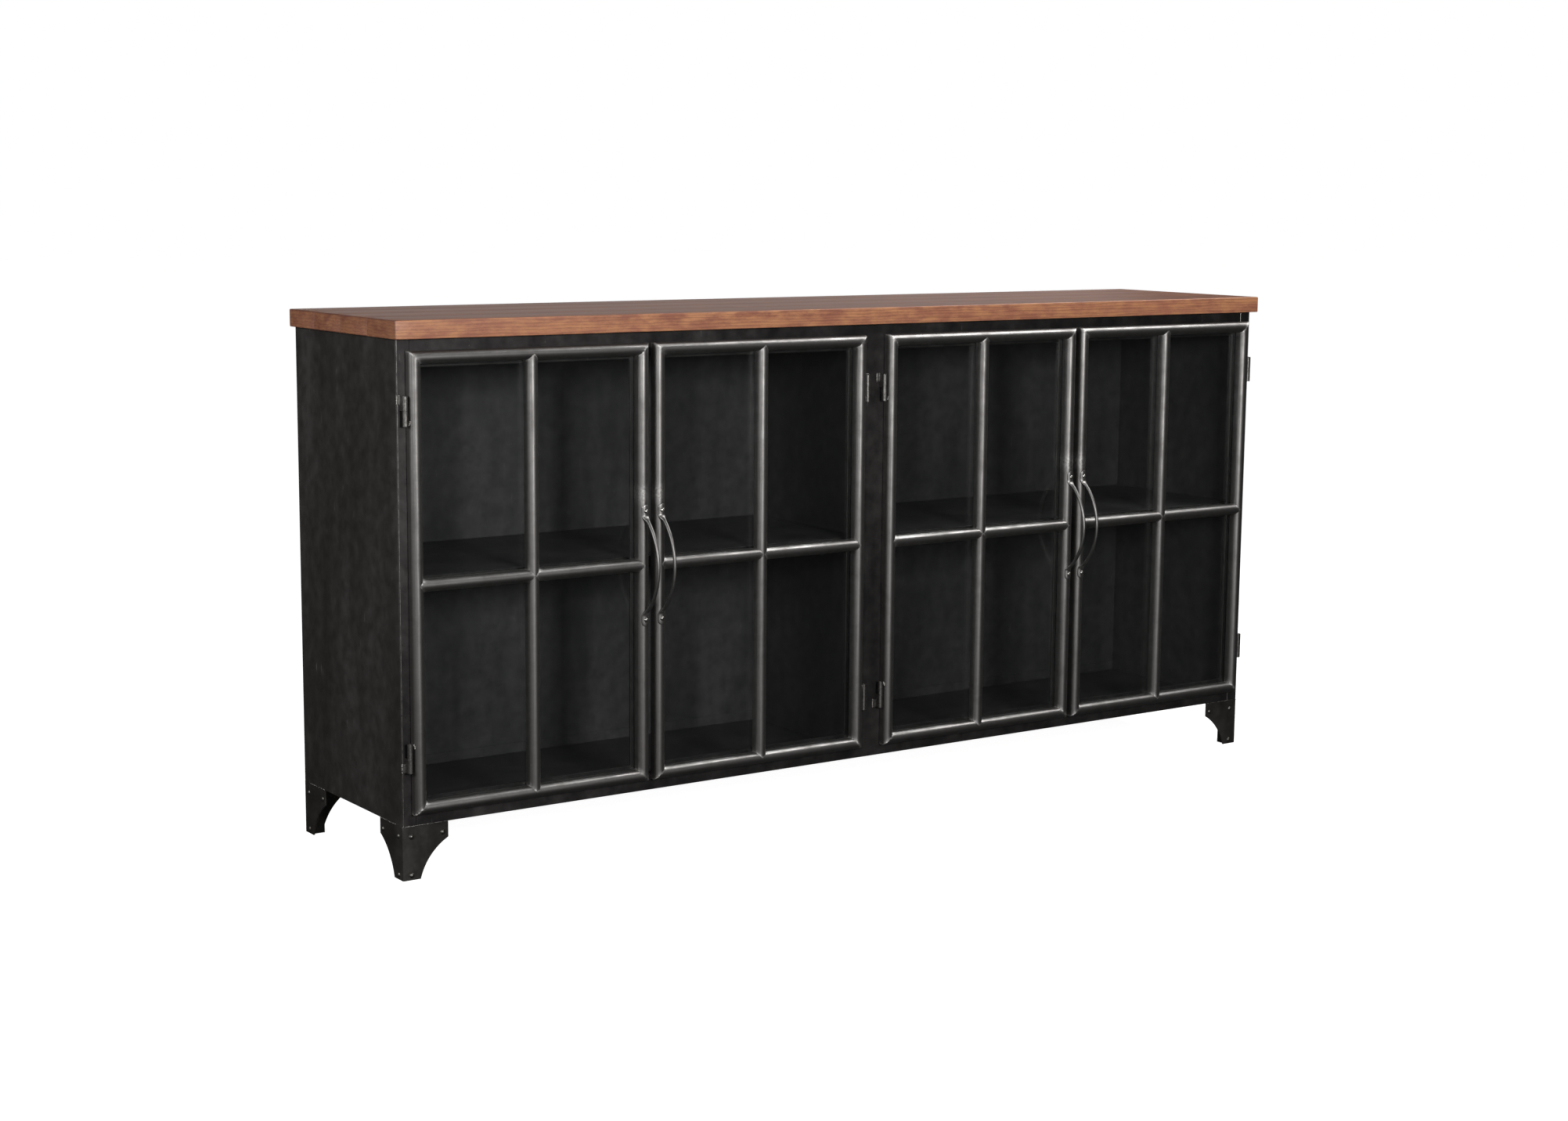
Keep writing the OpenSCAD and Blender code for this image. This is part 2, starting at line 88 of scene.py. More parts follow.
def add(tree, kind, inputs=None, **settings):
    """Adds a node. inputs maps a socket to a value, an output, or a node, which gives its first output."""
    made = tree.nodes.new(kind)
    for key, value in settings.items():
        setattr(made, key, value)
    for key, value in (inputs or {}).items():
        if isinstance(value, bpy.types.Node):
            value = value.outputs[0]
        if isinstance(value, bpy.types.NodeSocket):
            tree.links.new(value, made.inputs[key])
        else:
            made.inputs[key].default_value = value
    return made


def new_material(name):
    """An empty node material and its tree."""
    material = bpy.data.materials.new(name)
    material.use_nodes = True
    material.node_tree.nodes.clear()
    return material, material.node_tree


MIX_FACTOR, MIX_A, MIX_B, MIX_COLOUR = 0, 6, 7, 2   # sockets of a Mix node that mixes colours
print("helpers ready, mid grey is", round(linear("#808080")[0], 3))

# %% [markdown]
# ## Oiled hardwood
# The top is a reddish brown hardwood, planed, stained and rubbed with oil, so it has a satin sheen and no
# film. Growth rings are cylinders round the middle of the tree. A plank cuts through them lengthwise, so
# the grain is drawn as rings round an axis that runs along X under each plank, bent a little by noise. The
# same rings then show as long streaks on the faces and as flat arcs on the ends, as they do on a real
# board.

# %% Oiled hardwood
def oiled_hardwood():
    material, tree = new_material("oiled_hardwood")
    place = add(tree, "ShaderNodeTexCoord").outputs["Object"]
    plank = add(tree, "ShaderNodeAttribute", attribute_name="plank").outputs["Fac"]
    end = add(tree, "ShaderNodeAttribute", attribute_name="end_grain").outputs["Fac"]
    upper = add(tree, "ShaderNodeAttribute", attribute_name="upper_face").outputs["Fac"]
    shift = add(tree, "ShaderNodeVectorMath", {0: (3.1, 0.0, 0.7), "Scale": plank}, operation="SCALE")
    own = add(tree, "ShaderNodeVectorMath", {0: place, 1: shift}, operation="ADD")
    # long slow drift of colour: 0.5 m along the plank, 30 mm across it
    drift = add(tree, "ShaderNodeMapping", {"Vector": own, "Scale": (2.0, 30.0, 34.0)})
    blotch = add(tree, "ShaderNodeTexNoise", {"Vector": drift, "Scale": 1.0, "Detail": 3.0, "Roughness": 0.6})
    # short mottled figure: patches 40 mm long and 25 mm across the grain
    patch = add(tree, "ShaderNodeMapping", {"Vector": own, "Scale": (24.0, 40.0, 60.0)})
    figure = add(tree, "ShaderNodeTexNoise",
                 {"Vector": patch, "Scale": 1.0, "Detail": 4.0, "Roughness": 0.65})
    # rings 9 mm apart across the board and 5 mm apart through it, stretched along X
    ring_place = add(tree, "ShaderNodeMapping", {"Vector": own, "Scale": (0.12, 1.0, 1.7)})
    rings = add(tree, "ShaderNodeTexWave",
                {"Vector": ring_place, "Scale": 34.0, "Distortion": 7.0, "Detail": 3.0,
                 "Detail Scale": 1.6, "Detail Roughness": 0.6}, wave_type="RINGS",
                rings_direction="X").outputs[1]
    # pores: dashes 0.4 mm wide and 2 mm long
    pore_place = add(tree, "ShaderNodeMapping", {"Vector": own, "Scale": (200.0, 900.0, 900.0)})
    pore_noise = add(tree, "ShaderNodeTexNoise", {"Vector": pore_place, "Scale": 1.0, "Detail": 2.0})
    pores = add(tree, "ShaderNodeMapRange", {"Value": pore_noise, "From Min": 0.60, "From Max": 0.70})
    warm = add(tree, "ShaderNodeMix",
               {MIX_FACTOR: blotch, MIX_A: linear("#69392A"), MIX_B: linear("#A06A50")},
               data_type="RGBA").outputs[MIX_COLOUR]
    figured = add(tree, "ShaderNodeMapRange", {"Value": figure, "From Min": 0.40, "From Max": 0.62})
    bright = add(tree, "ShaderNodeMix", {MIX_FACTOR: figured, MIX_A: warm, MIX_B: linear("#A06D4A")},
                 data_type="RGBA").outputs[MIX_COLOUR]
    late = add(tree, "ShaderNodeMapRange",
               {"Value": rings, "From Min": 0.45, "From Max": 1.0, "To Max": 0.34})
    ringed = add(tree, "ShaderNodeMix", {MIX_FACTOR: late, MIX_A: bright, MIX_B: linear("#522A20")},
                 data_type="RGBA").outputs[MIX_COLOUR]
    pore_share = add(tree, "ShaderNodeMath", {0: pores, 1: 0.36}, operation="MULTIPLY")
    pored = add(tree, "ShaderNodeMix", {MIX_FACTOR: pore_share, MIX_A: ringed, MIX_B: linear("#371B14")},
                data_type="RGBA").outputs[MIX_COLOUR]
    # end grain drinks more stain; the upper face gets painted shade, a duller and darker colour than the
    # edges, for how the light falls on it
    end_share = add(tree, "ShaderNodeMath", {0: end, 1: 0.55}, operation="MULTIPLY")
    ended = add(tree, "ShaderNodeMix", {MIX_FACTOR: end_share, MIX_A: pored, MIX_B: linear("#3A1C11")},
                data_type="RGBA").outputs[MIX_COLOUR]
    painted_top_shade = add(tree, "ShaderNodeMath", {0: upper, 1: 0.45}, operation="MULTIPLY")
    colour = add(tree, "ShaderNodeMix", {MIX_FACTOR: painted_top_shade, MIX_A: ended, MIX_B: linear("#472A26")},
                 data_type="RGBA").outputs[MIX_COLOUR]
    rough = add(tree, "ShaderNodeMapRange", {"Value": figure, "To Min": 0.40, "To Max": 0.56})
    relief = add(tree, "ShaderNodeMath", {0: rings, 1: pores}, operation="SUBTRACT")
    bump = add(tree, "ShaderNodeBump", {"Height": relief, "Strength": 0.35, "Distance": 0.2 * MM})
    shader = add(tree, "ShaderNodeBsdfPrincipled", {"Base Color": colour, "Roughness": rough, "Normal": bump,
                 "IOR": 1.5, "Coat Weight": 0.15, "Coat Roughness": 0.35})
    add(tree, "ShaderNodeOutputMaterial", {"Surface": shader})
    return material


WOOD = oiled_hardwood()
print("made", WOOD.name)

# %% [markdown]
# ## Blackened sheet steel
# The carcass is cold-rolled sheet, blackened with a chemical wash and sealed with wax. The oxide is almost
# black but the metal still gives it a dull gloss. The wash runs down while it dries, so it leaves faint
# vertical clouds, and handling leaves a few hair scratches that show the brighter steel.

# %% Blackened sheet steel
def blackened_sheet(name, dark, light, scratch_share, roughness, metal=0.85):
    material, tree = new_material(name)
    place = add(tree, "ShaderNodeTexCoord").outputs["Object"]
    # clouds 80 mm wide and 0.4 m tall
    run = add(tree, "ShaderNodeMapping", {"Vector": place, "Scale": (12.0, 12.0, 2.5)})
    cloud = add(tree, "ShaderNodeTexNoise", {"Vector": run, "Scale": 1.0, "Detail": 4.0, "Roughness": 0.55})
    # smears a few centimetres across, without direction
    smear = add(tree, "ShaderNodeTexNoise", {"Vector": place, "Scale": 38.0, "Detail": 5.0, "Roughness": 0.6})
    both = add(tree, "ShaderNodeMath", {0: cloud, 1: smear}, operation="MULTIPLY")
    tone = add(tree, "ShaderNodeMapRange", {"Value": both, "From Min": 0.14, "From Max": 0.40})
    base = add(tree, "ShaderNodeMix", {MIX_FACTOR: tone, MIX_A: linear(dark), MIX_B: linear(light)},
               data_type="RGBA").outputs[MIX_COLOUR]
    # hair scratches 0.6 mm wide and 30 mm long, broken up by the smears
    hair = add(tree, "ShaderNodeMapping",
               {"Vector": place, "Rotation": (0.25, 0.2, 0.0), "Scale": (420.0, 420.0, 16.0)})
    hair_noise = add(tree, "ShaderNodeTexNoise", {"Vector": hair, "Scale": 1.0, "Detail": 1.0})
    hairs = add(tree, "ShaderNodeMapRange", {"Value": hair_noise, "From Min": 0.735, "From Max": 0.80})
    brightened = add(tree, "ShaderNodeMapRange", {"Value": smear, "From Min": 0.52, "From Max": 0.66})
    scratch = add(tree, "ShaderNodeMath", {0: hairs, 1: brightened}, operation="MULTIPLY")
    scratch_mix = add(tree, "ShaderNodeMath", {0: scratch, 1: scratch_share}, operation="MULTIPLY")
    colour = add(tree, "ShaderNodeMix", {MIX_FACTOR: scratch_mix, MIX_A: base, MIX_B: linear("#8C8A86")},
                 data_type="RGBA").outputs[MIX_COLOUR]
    rough = add(tree, "ShaderNodeMapRange", {"Value": both, "From Min": 0.1, "From Max": 0.4,
                "To Min": roughness - 0.06, "To Max": roughness + 0.08})
    # rolling marks and dried wax: 0.05 mm of relief at 2 mm
    skin = add(tree, "ShaderNodeTexNoise", {"Vector": place, "Scale": 500.0, "Detail": 2.0})
    bump = add(tree, "ShaderNodeBump", {"Height": skin, "Strength": 0.25, "Distance": 0.05 * MM})
    shader = add(tree, "ShaderNodeBsdfPrincipled",
                 {"Base Color": colour, "Metallic": metal, "Roughness": rough,
                  "Normal": bump})
    add(tree, "ShaderNodeOutputMaterial", {"Surface": shader})
    return material


SHEET = blackened_sheet("blackened_sheet_steel", "#282624", "#3A3837", 0.7, 0.46, 0.5)
INSIDE = blackened_sheet("blackened_inside_steel", "#2B2B2B", "#3E3D3D", 0.3, 0.5, 0.4)
FACE = blackened_sheet("blackened_frame_steel", "#312F2F", "#474544", 0.8, 0.44)
FOOT = blackened_sheet("blackened_foot_steel", "#3E3C39", "#565350", 0.8, 0.42)
# a near-black copy for the shelves' front lips and the doors' glazing stops: painted shade, standing for the
# shadow of the door bars in front of them
PAINTED_SHADE = blackened_sheet("blackened_edge_steel", "#161515", "#262524", 0.4, 0.5, 0.5)
print("made", SHEET.name, INSIDE.name, FACE.name, FOOT.name, PAINTED_SHADE.name)

# %% [markdown]
# ## Burnished bar steel
# The door bars are drawn half-round steel, ground at the welds, blackened thinly and burnished back to
# gunmetal. Drawing and burnishing both run along the bar, so the fine lines follow its length. Each bar
# carries its own coordinates, along and around, in the attribute "run", and the closeness to a weld in the
# attribute "seam".

# %% Burnished bar steel
def burnished_steel(name, dark, light, seam_colour, roughness, along=9.0, around=420.0):
    material, tree = new_material(name)
    run = add(tree, "ShaderNodeAttribute", attribute_name="run").outputs["Vector"]
    seam = add(tree, "ShaderNodeAttribute", attribute_name="seam").outputs["Fac"]
    place = add(tree, "ShaderNodeTexCoord").outputs["Object"]
    # burnishing lines 2 mm apart that run for 0.1 m
    lines_place = add(tree, "ShaderNodeMapping", {"Vector": run, "Scale": (along, around, 1.0)})
    lines = add(tree, "ShaderNodeTexNoise",
                {"Vector": lines_place, "Scale": 1.0, "Detail": 3.0, "Roughness": 0.6})
    # dark clouds where the blackening held, 40 mm across
    clouds = add(tree, "ShaderNodeTexNoise",
                 {"Vector": place, "Scale": 24.0, "Detail": 5.0, "Roughness": 0.62})
    tone = add(tree, "ShaderNodeMath", {0: lines, 1: clouds}, operation="MULTIPLY")
    spread = add(tree, "ShaderNodeMapRange", {"Value": tone, "From Min": 0.13, "From Max": 0.37})
    base = add(tree, "ShaderNodeMix", {MIX_FACTOR: spread, MIX_A: linear(dark), MIX_B: linear(light)},
               data_type="RGBA").outputs[MIX_COLOUR]
    # grinding leaves brighter, patchy steel at the welds
    grit = add(tree, "ShaderNodeTexNoise", {"Vector": place, "Scale": 260.0, "Detail": 4.0, "Roughness": 0.7})
    patchy = add(tree, "ShaderNodeMapRange", {"Value": grit, "From Min": 0.38, "From Max": 0.62})
    ground = add(tree, "ShaderNodeMath", {0: seam, 1: patchy}, operation="MULTIPLY")
    colour = add(tree, "ShaderNodeMix", {MIX_FACTOR: ground, MIX_A: base, MIX_B: linear(seam_colour)},
                 data_type="RGBA").outputs[MIX_COLOUR]
    smooth = add(tree, "ShaderNodeMapRange", {"Value": tone, "From Min": 0.13, "From Max": 0.37,
                 "To Min": roughness + 0.06, "To Max": roughness - 0.05})
    rough = add(tree, "ShaderNodeMath", {0: ground, 1: 0.16, 2: smooth}, operation="MULTIPLY_ADD")
    # hand grinding leaves the bar very slightly uneven: 25 mm waves and fine lines
    waves = add(tree, "ShaderNodeTexNoise", {"Vector": place, "Scale": 40.0, "Detail": 2.0})
    height = add(tree, "ShaderNodeMath", {0: lines, 1: 0.12, 2: waves}, operation="MULTIPLY_ADD")
    bump = add(tree, "ShaderNodeBump", {"Height": height, "Strength": 0.15, "Distance": 1.0 * MM})
    shader = add(tree, "ShaderNodeBsdfPrincipled", {"Base Color": colour, "Metallic": 1.0, "Roughness": rough,
                 "Normal": bump})
    add(tree, "ShaderNodeOutputMaterial", {"Surface": shader})
    return material


BAR = burnished_steel("burnished_bar_steel", "#656361", "#918F8D", "#D8D6D2", 0.40)
HANDLE = burnished_steel("burnished_handle_steel", "#605F5E", "#8E8C8A", "#D0CECA", 0.43, along=30.0,
                         around=600.0)
print("made", BAR.name, HANDLE.name)

# %% [markdown]
# ## Hinges, welds and fixings
# The hinges are weld-on knuckles of raw steel, and the screws and rivets are plain steel rubbed bright on
# top. A weld bead is a row of overlapping frozen ripples, brighter than the blackened sheet round it.

# %% Small steel finishes
def small_steel(name, dark, light, roughness, grain):
    """Steel for small pieces: one mottled tone, with the grain size in millimetres."""
    material, tree = new_material(name)
    place = add(tree, "ShaderNodeTexCoord").outputs["Object"]
    mottle = add(tree, "ShaderNodeTexNoise", {"Vector": place, "Scale": 1000.0 / grain, "Detail": 4.0,
                 "Roughness": 0.65})
    tone = add(tree, "ShaderNodeMapRange", {"Value": mottle, "From Min": 0.35, "From Max": 0.65})
    colour = add(tree, "ShaderNodeMix", {MIX_FACTOR: tone, MIX_A: linear(dark), MIX_B: linear(light)},
                 data_type="RGBA").outputs[MIX_COLOUR]
    rough = add(tree, "ShaderNodeMapRange",
                {"Value": mottle, "To Min": roughness + 0.1, "To Max": roughness - 0.1})
    bump = add(tree, "ShaderNodeBump", {"Height": mottle, "Strength": 0.3, "Distance": 0.1 * MM})
    shader = add(tree, "ShaderNodeBsdfPrincipled", {"Base Color": colour, "Metallic": 1.0,
                 "Roughness": rough, "Normal": bump})
    add(tree, "ShaderNodeOutputMaterial", {"Surface": shader})
    return material


HINGE = small_steel("raw_hinge_steel", "#504E4C", "#817F7C", 0.42, 3.0)
FIXING = small_steel("rubbed_fixing_steel", "#76746F", "#C4C1BC", 0.30, 2.0)
RIVET = small_steel("blackened_rivet_steel", "#3A3836", "#74726E", 0.44, 3.0)
WELD = small_steel("ground_weld_steel", "#5E5C59", "#A09D99", 0.42, 1.5)
# bright steel for the eased corners of the outer stiles and the feet: a painted highlight along the corner
# line
PAINTED_HIGHLIGHT = small_steel("worn_edge_steel", "#5C5A58", "#9A9895", 0.42, 8.0)
print("made", HINGE.name, FIXING.name, RIVET.name, WELD.name, PAINTED_HIGHLIGHT.name)

# %% [markdown]
# ## Float glass
# The panes are 3 mm clear float glass. A pane this thin hardly bends the light, so each of its faces is a
# mirror that gets stronger at a slant, over a clear view with the faint green of the iron in the glass. A
# film of dust and wiping marks dulls the view a little. The panes cast no shadow, so the light reaches the
# shelves.

# %% Float glass
def float_glass():
    material, tree = new_material("float_glass")
    place = add(tree, "ShaderNodeTexCoord").outputs["Object"]
    film = add(tree, "ShaderNodeTexNoise", {"Vector": place, "Scale": 9.0, "Detail": 5.0, "Roughness": 0.6})
    dusty = add(tree, "ShaderNodeMapRange", {"Value": film, "From Min": 0.4, "From Max": 0.7})
    tint = add(tree, "ShaderNodeMix", {MIX_FACTOR: dusty, MIX_A: linear("#FCFDFD"), MIX_B: linear("#F3F5F4")},
               data_type="RGBA").outputs[MIX_COLOUR]
    view = add(tree, "ShaderNodeBsdfTransparent", {"Color": tint})
    mirror = add(tree, "ShaderNodeBsdfGlossy", {"Color": linear("#F4F8F6"), "Roughness": 0.0})
    # the same mirror from both sides of a face: 1.52 going in and 1 / 1.52 coming out
    inside = add(tree, "ShaderNodeNewGeometry").outputs["Backfacing"]
    index = add(tree, "ShaderNodeMapRange", {"Value": inside, "To Min": 1.52, "To Max": 0.658})
    slant = add(tree, "ShaderNodeFresnel", {"IOR": index})
    shader = add(tree, "ShaderNodeMixShader", {0: slant, 1: view, 2: mirror})
    add(tree, "ShaderNodeOutputMaterial", {"Surface": shader})
    return material


GLASS = float_glass()
for door in DOORS:
    pane = frame["nodes"][f"{door}_door_glass"]
    pane.data.materials.clear()
    pane.data.materials.append(GLASS)
    pane.visible_shadow = False
print("glazed", len(DOORS), "doors")

# %% [markdown]
# ## How a finished piece joins the frame
# A piece is done when it has one mesh in its right place, a finish, a body to ride on and the names of the
# plain solids that it stands for. Every maker below ends in the same two steps: mesh to object, and object
# to frame.

# %% From mesh to piece
def settle(piece, body, stands_for):
    """Lets a piece ride on its body, in place of the plain solids that it stands for."""
    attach(piece, body)
    if stands_for:
        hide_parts(*stands_for)
    triangles = sum(len(p.vertices) - 2 for p in piece.data.polygons)
    print(f"{piece.name}: {triangles} triangles on {body}")
    return piece


def link_mesh(name, mesh, finish, crease=35.0):
    """An object that shows a mesh, smooth except where faces meet at more than the crease angle."""
    mesh.name = name
    mesh.materials.clear()
    mesh.materials.append(finish)
    mesh.polygons.foreach_set("use_smooth", [True] * len(mesh.polygons))
    mesh.set_sharp_from_angle(angle=math.radians(crease))
    made = bpy.data.objects.new(name, mesh)
    bpy.context.scene.collection.objects.link(made)
    return made


def link_bmesh(name, bm, finish, crease=35.0):
    bmesh.ops.recalc_face_normals(bm, faces=bm.faces)
    mesh = bpy.data.meshes.new(name)
    bm.to_mesh(mesh)
    bm.free()
    return link_mesh(name, mesh, finish, crease)


def baked(piece):
    """The piece's mesh with its modifiers worked in, as a new plain mesh."""
    graph = bpy.context.evaluated_depsgraph_get()
    return bpy.data.meshes.new_from_object(piece.evaluated_get(graph), depsgraph=graph)


def discard(*pieces):
    for piece in pieces:
        bpy.data.objects.remove(piece)


print("piece helpers ready")

# %% [markdown]
# ## Sheets and tubes with eased edges
# No real sheet or tube has a perfectly sharp edge: shearing, bending and deburring round it by up to a
# millimetre, and that small round is what catches the light. The measured solid is copied, its loose
# triangles are merged and its flat faces rebuilt, and a bevel eases every edge. Weighted normals keep the
# big faces flat to the eye. The rounded corners of the outer stiles and the bends of the feet also get a
# brighter finish: a painted highlight along the corner.

# %% Eased copies of sheets and tubes
EASE_ANGLE = 30.0
EASE_STEPS = 2
HIGHLIGHT_SLANT = 0.25     # a face leaning this much both ways is a rounded or bent corner


def eased(node, body, finish, width, brightened=None):
    """A copy of a measured node with its edges rounded by width, and a painted highlight on its rounded
    corners if a finish for that is given.
    """
    bm = bmesh.new()
    bm.from_mesh(frame["nodes"][node].data)
    bmesh.ops.remove_doubles(bm, verts=bm.verts, dist=0.002 * MM)
    bmesh.ops.dissolve_limit(bm, angle_limit=math.radians(0.4), verts=bm.verts, edges=bm.edges)
    mesh = bpy.data.meshes.new(node)
    bm.to_mesh(mesh)
    bm.free()
    draft = link_mesh(f"{node}_draft", mesh, finish)
    bevel = draft.modifiers.new("ease", "BEVEL")
    bevel.width = width
    bevel.segments = EASE_STEPS
    bevel.limit_method = "ANGLE"
    bevel.angle_limit = math.radians(EASE_ANGLE)
    bevel.harden_normals = True
    if brightened:
        draft.data.materials.append(brightened)
        bevel.material = 1
    weighted = draft.modifiers.new("flat_faces", "WEIGHTED_NORMAL")
    weighted.keep_sharp = True
    mesh = baked(draft)
    discard(draft)
    mesh.name = f"{node}_eased"
    # the faces of the rounded corners take the painted highlight
    if brightened:
        for face in mesh.polygons:
            if min(abs(face.normal.x), abs(face.normal.y)) > HIGHLIGHT_SLANT:
                face.material_index = 1
    made = bpy.data.objects.new(mesh.name, mesh)
    bpy.context.scene.collection.objects.link(made)
    return settle(made, body, [node])


for side in ("left", "right"):
    panel = eased(f"side_panel_{side}", "carcass", SHEET, 0.6 * MM)
    panel.data.materials.append(INSIDE)
    inward = 1 if side == "left" else -1
    for face in panel.data.polygons:
        face.material_index = 1 if face.normal.x * inward > 0.9 else 0
    eased(f"face_stile_{side}", "carcass", FACE, 1.0 * MM, brightened=PAINTED_HIGHLIGHT)
    shelf = eased(f"shelf_{side}", "carcass", INSIDE, 0.5 * MM)
    # the shelf's front lip, facing the doors, takes the near-black painted shade
    shelf.data.materials.append(PAINTED_SHADE)
    for face in shelf.data.polygons:
        face.material_index = 1 if face.normal.y < -0.9 else 0
for node in ("roof_sheet", "back_panel", "floor_pan", "centre_partition", "shelf_cleats"):
    eased(node, "carcass", INSIDE, 0.4 * MM)
for node in ("face_stile_centre", "face_rail_top", "face_rail_bottom"):
    eased(node, "carcass", FACE, 0.2 * MM)
for corner in CORNERS:
    eased(f"foot_gusset_{corner}", "carcass", FOOT, 1.0 * MM, brightened=PAINTED_HIGHLIGHT)
eased("leg_tubes", "carcass", FOOT, 0.6 * MM)
eased("frame_knuckles", "carcass", HINGE, 0.4 * MM)
eased("hinge_pins", "carcass", FIXING, 0.8 * MM)
eased("door_catches", "carcass", FIXING, 0.3 * MM)
for door in DOORS:
    # the glazing stop takes the near-black painted shade
    eased(f"{door}_door_glazing_stop", f"{door}_door", PAINTED_SHADE, 0.5 * MM)
    eased(f"{door}_door_knuckles", f"{door}_door", HINGE, 0.4 * MM)
    eased(f"{door}_door_strike", f"{door}_door", FIXING, 0.3 * MM)

# %% [markdown]
# ## The plank top
# Four boards are glued edge to edge and planed. Each one is made as its own closed board: a rounded section
# is drawn once and swept along X, and it shrinks a little at both ends so that the end arris is round as
# well. The outer arrises are rounder than the glued ones, and they wander by a few tenths of a millimetre,
# because a hand with sandpaper made them. Three attributes tell the wood finish which plank, end or upper
# face it is on.

# %% Planks
PLANKS = 4
OUTER_ARRIS = 1.6 * MM
GLUED_ARRIS = 0.5 * MM
ARRIS_STEPS = 4
RING_SPACING = 40 * MM
HAND_WANDER = 0.25 * MM
WANDER_ALONG, WANDER_ROUND, WANDER_NEXT = 9, 40, 5.3     # noise per metre, and its step from board to board


def rounded_section(y0, y1, z0, z1, radii):
    """Corner by corner, the outline of a board's section, with its own radius at each corner."""
    corners = ((y0, z0, 180), (y1, z0, 270), (y1, z1, 0), (y0, z1, 90))
    outline = []
    for (y, z, start), r in zip(corners, radii):
        cy = y + (r if y == y0 else -r)
        cz = z + (r if z == z0 else -r)
        for i in range(ARRIS_STEPS + 1):
            turn = math.radians(start + 90 * i / ARRIS_STEPS)
            outline.append((cy + r * math.cos(turn), cz + r * math.sin(turn)))
    return outline


def skin(bm, rings):
    """Quads between rings of vertices that all have the same count, and a cap at each end."""
    count = len(rings[0])
    for near, far in zip(rings, rings[1:]):
        for j in range(count):
            k = (j + 1) % count
            bm.faces.new((near[j], near[k], far[k], far[j]))
    bm.faces.new(rings[0])
    bm.faces.new(tuple(reversed(rings[-1])))


def plank_top():
    low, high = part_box("top_planks")
    bm = bmesh.new()
    plank_layer = bm.verts.layers.float.new("plank")
    end_layer = bm.verts.layers.float.new("end_grain")
    upper_layer = bm.verts.layers.float.new("upper_face")
    width = (high.y - low.y) / PLANKS
    for i in range(PLANKS):
        front = OUTER_ARRIS if i == 0 else GLUED_ARRIS
        back = OUTER_ARRIS if i == PLANKS - 1 else GLUED_ARRIS
        y0, y1 = low.y + i * width, low.y + (i + 1) * width
        middle = Vector((0, (y0 + y1) / 2, (low.z + high.z) / 2))
        ends = [OUTER_ARRIS * (1 - math.cos(math.pi / 2 * s / ARRIS_STEPS)) for s in range(ARRIS_STEPS + 1)]
        insets = [OUTER_ARRIS - OUTER_ARRIS * math.sin(math.pi / 2 * s / ARRIS_STEPS)
                  for s in range(ARRIS_STEPS + 1)]
        stations = [(low.x + e, inset) for e, inset in zip(ends, insets)]
        steps = round((high.x - low.x) / RING_SPACING)
        inner = [low.x + (high.x - low.x) * s / steps for s in range(1, steps)]
        stations += [(x, 0.0) for x in inner]
        stations += [(high.x - e, inset) for e, inset in reversed(list(zip(ends, insets)))]
        rings = []
        for x, inset in stations:
            outline = rounded_section(y0 + min(inset, front), y1 - min(inset, back), low.z + inset,
                                      high.z - inset,
                                      (front, back, back, front))
            ring = []
            for y, z in outline:
                spot = Vector((x * WANDER_ALONG, y * WANDER_ROUND, z * WANDER_ROUND + i * WANDER_NEXT))
                wander = noise.noise(spot) * HAND_WANDER
                pull = (middle - Vector((0, y, z))).normalized() * abs(wander)
                vert = bm.verts.new((x, y + pull.y, z + pull.z))
                vert[plank_layer] = i
                vert[end_layer] = 1.0 if inset > 0 else 0.0
                vert[upper_layer] = 1.0 if z > high.z - 1.01 * max(inset, 0.1 * MM) else 0.0
                ring.append(vert)
            rings.append(ring)
        skin(bm, rings)
    return link_bmesh("plank_top", bm, WOOD, 50.0)


settle(plank_top(), "carcass", ["top_planks"])

# %% [markdown]
# ## Half-round door bars
# The doors are welded from half-round bar, flat-sided behind. Four lengths are mitred round the door. The
# glazing bars end in a point on each side, cut so that the round of one bar dies into the round of the other.
# Both cuts follow one rule: a point of the section ends further along the bar the nearer it is to the middle
# (at a glazing bar's point) or to the inside (at a mitre). So one function sweeps the section along a line,
# and two small rules say where each point of the section ends.

# %% Half-round bars
BAR_W = 21 * MM
BAR_R = BAR_W / 2
BAR_FLAT = 9.5 * MM
BACK_ROUND = 1.2 * MM
ROUND_STEPS = 28
SEAM_SHARES = ((0.0, 1.0), (1.2 * MM, 0.8), (3.5 * MM, 0.25), (9 * MM, 0.0))
SEAM_RISE = 0.28 * MM
BAR_RING = 14 * MM
SCUFF_RISE, SCUFF_REACH = 18 * MM, 20 * MM
SCUFF_SHARE = 0.6
MUNTIN_SET = 0.02 * MM     # keeps the backs of the glazing bars off the plane of the frame's back


def bar_section():
    """Outline of the bar: (across, forward), from the outer back edge over the round to the inner one."""
    outline = []
    for i in range(4):
        turn = math.radians(90 * i / 3)
        outline.append((BACK_ROUND * (1 - math.sin(turn)), BACK_ROUND * (1 - math.cos(turn))))
    for i in range(ROUND_STEPS + 1):
        turn = math.pi * i / ROUND_STEPS
        outline.append((BAR_R - BAR_R * math.cos(turn), BAR_FLAT + BAR_R * math.sin(turn)))
    for i in range(4):
        turn = math.radians(90 * (3 - i) / 3)
        outline.append((BAR_W - BACK_ROUND * (1 - math.sin(turn)), BACK_ROUND * (1 - math.cos(turn))))
    # drop the doubled corner points, where an arc starts on a flat
    return [p for p, q in zip(outline, outline[1:] + outline[:1]) if math.dist(p, q) > 0.01 * MM]


SECTION = bar_section()
FORWARD = Vector((0, -1, 0))


def mitre(across):
    return across


def point(across):
    return -(BAR_R - abs(across - BAR_R))


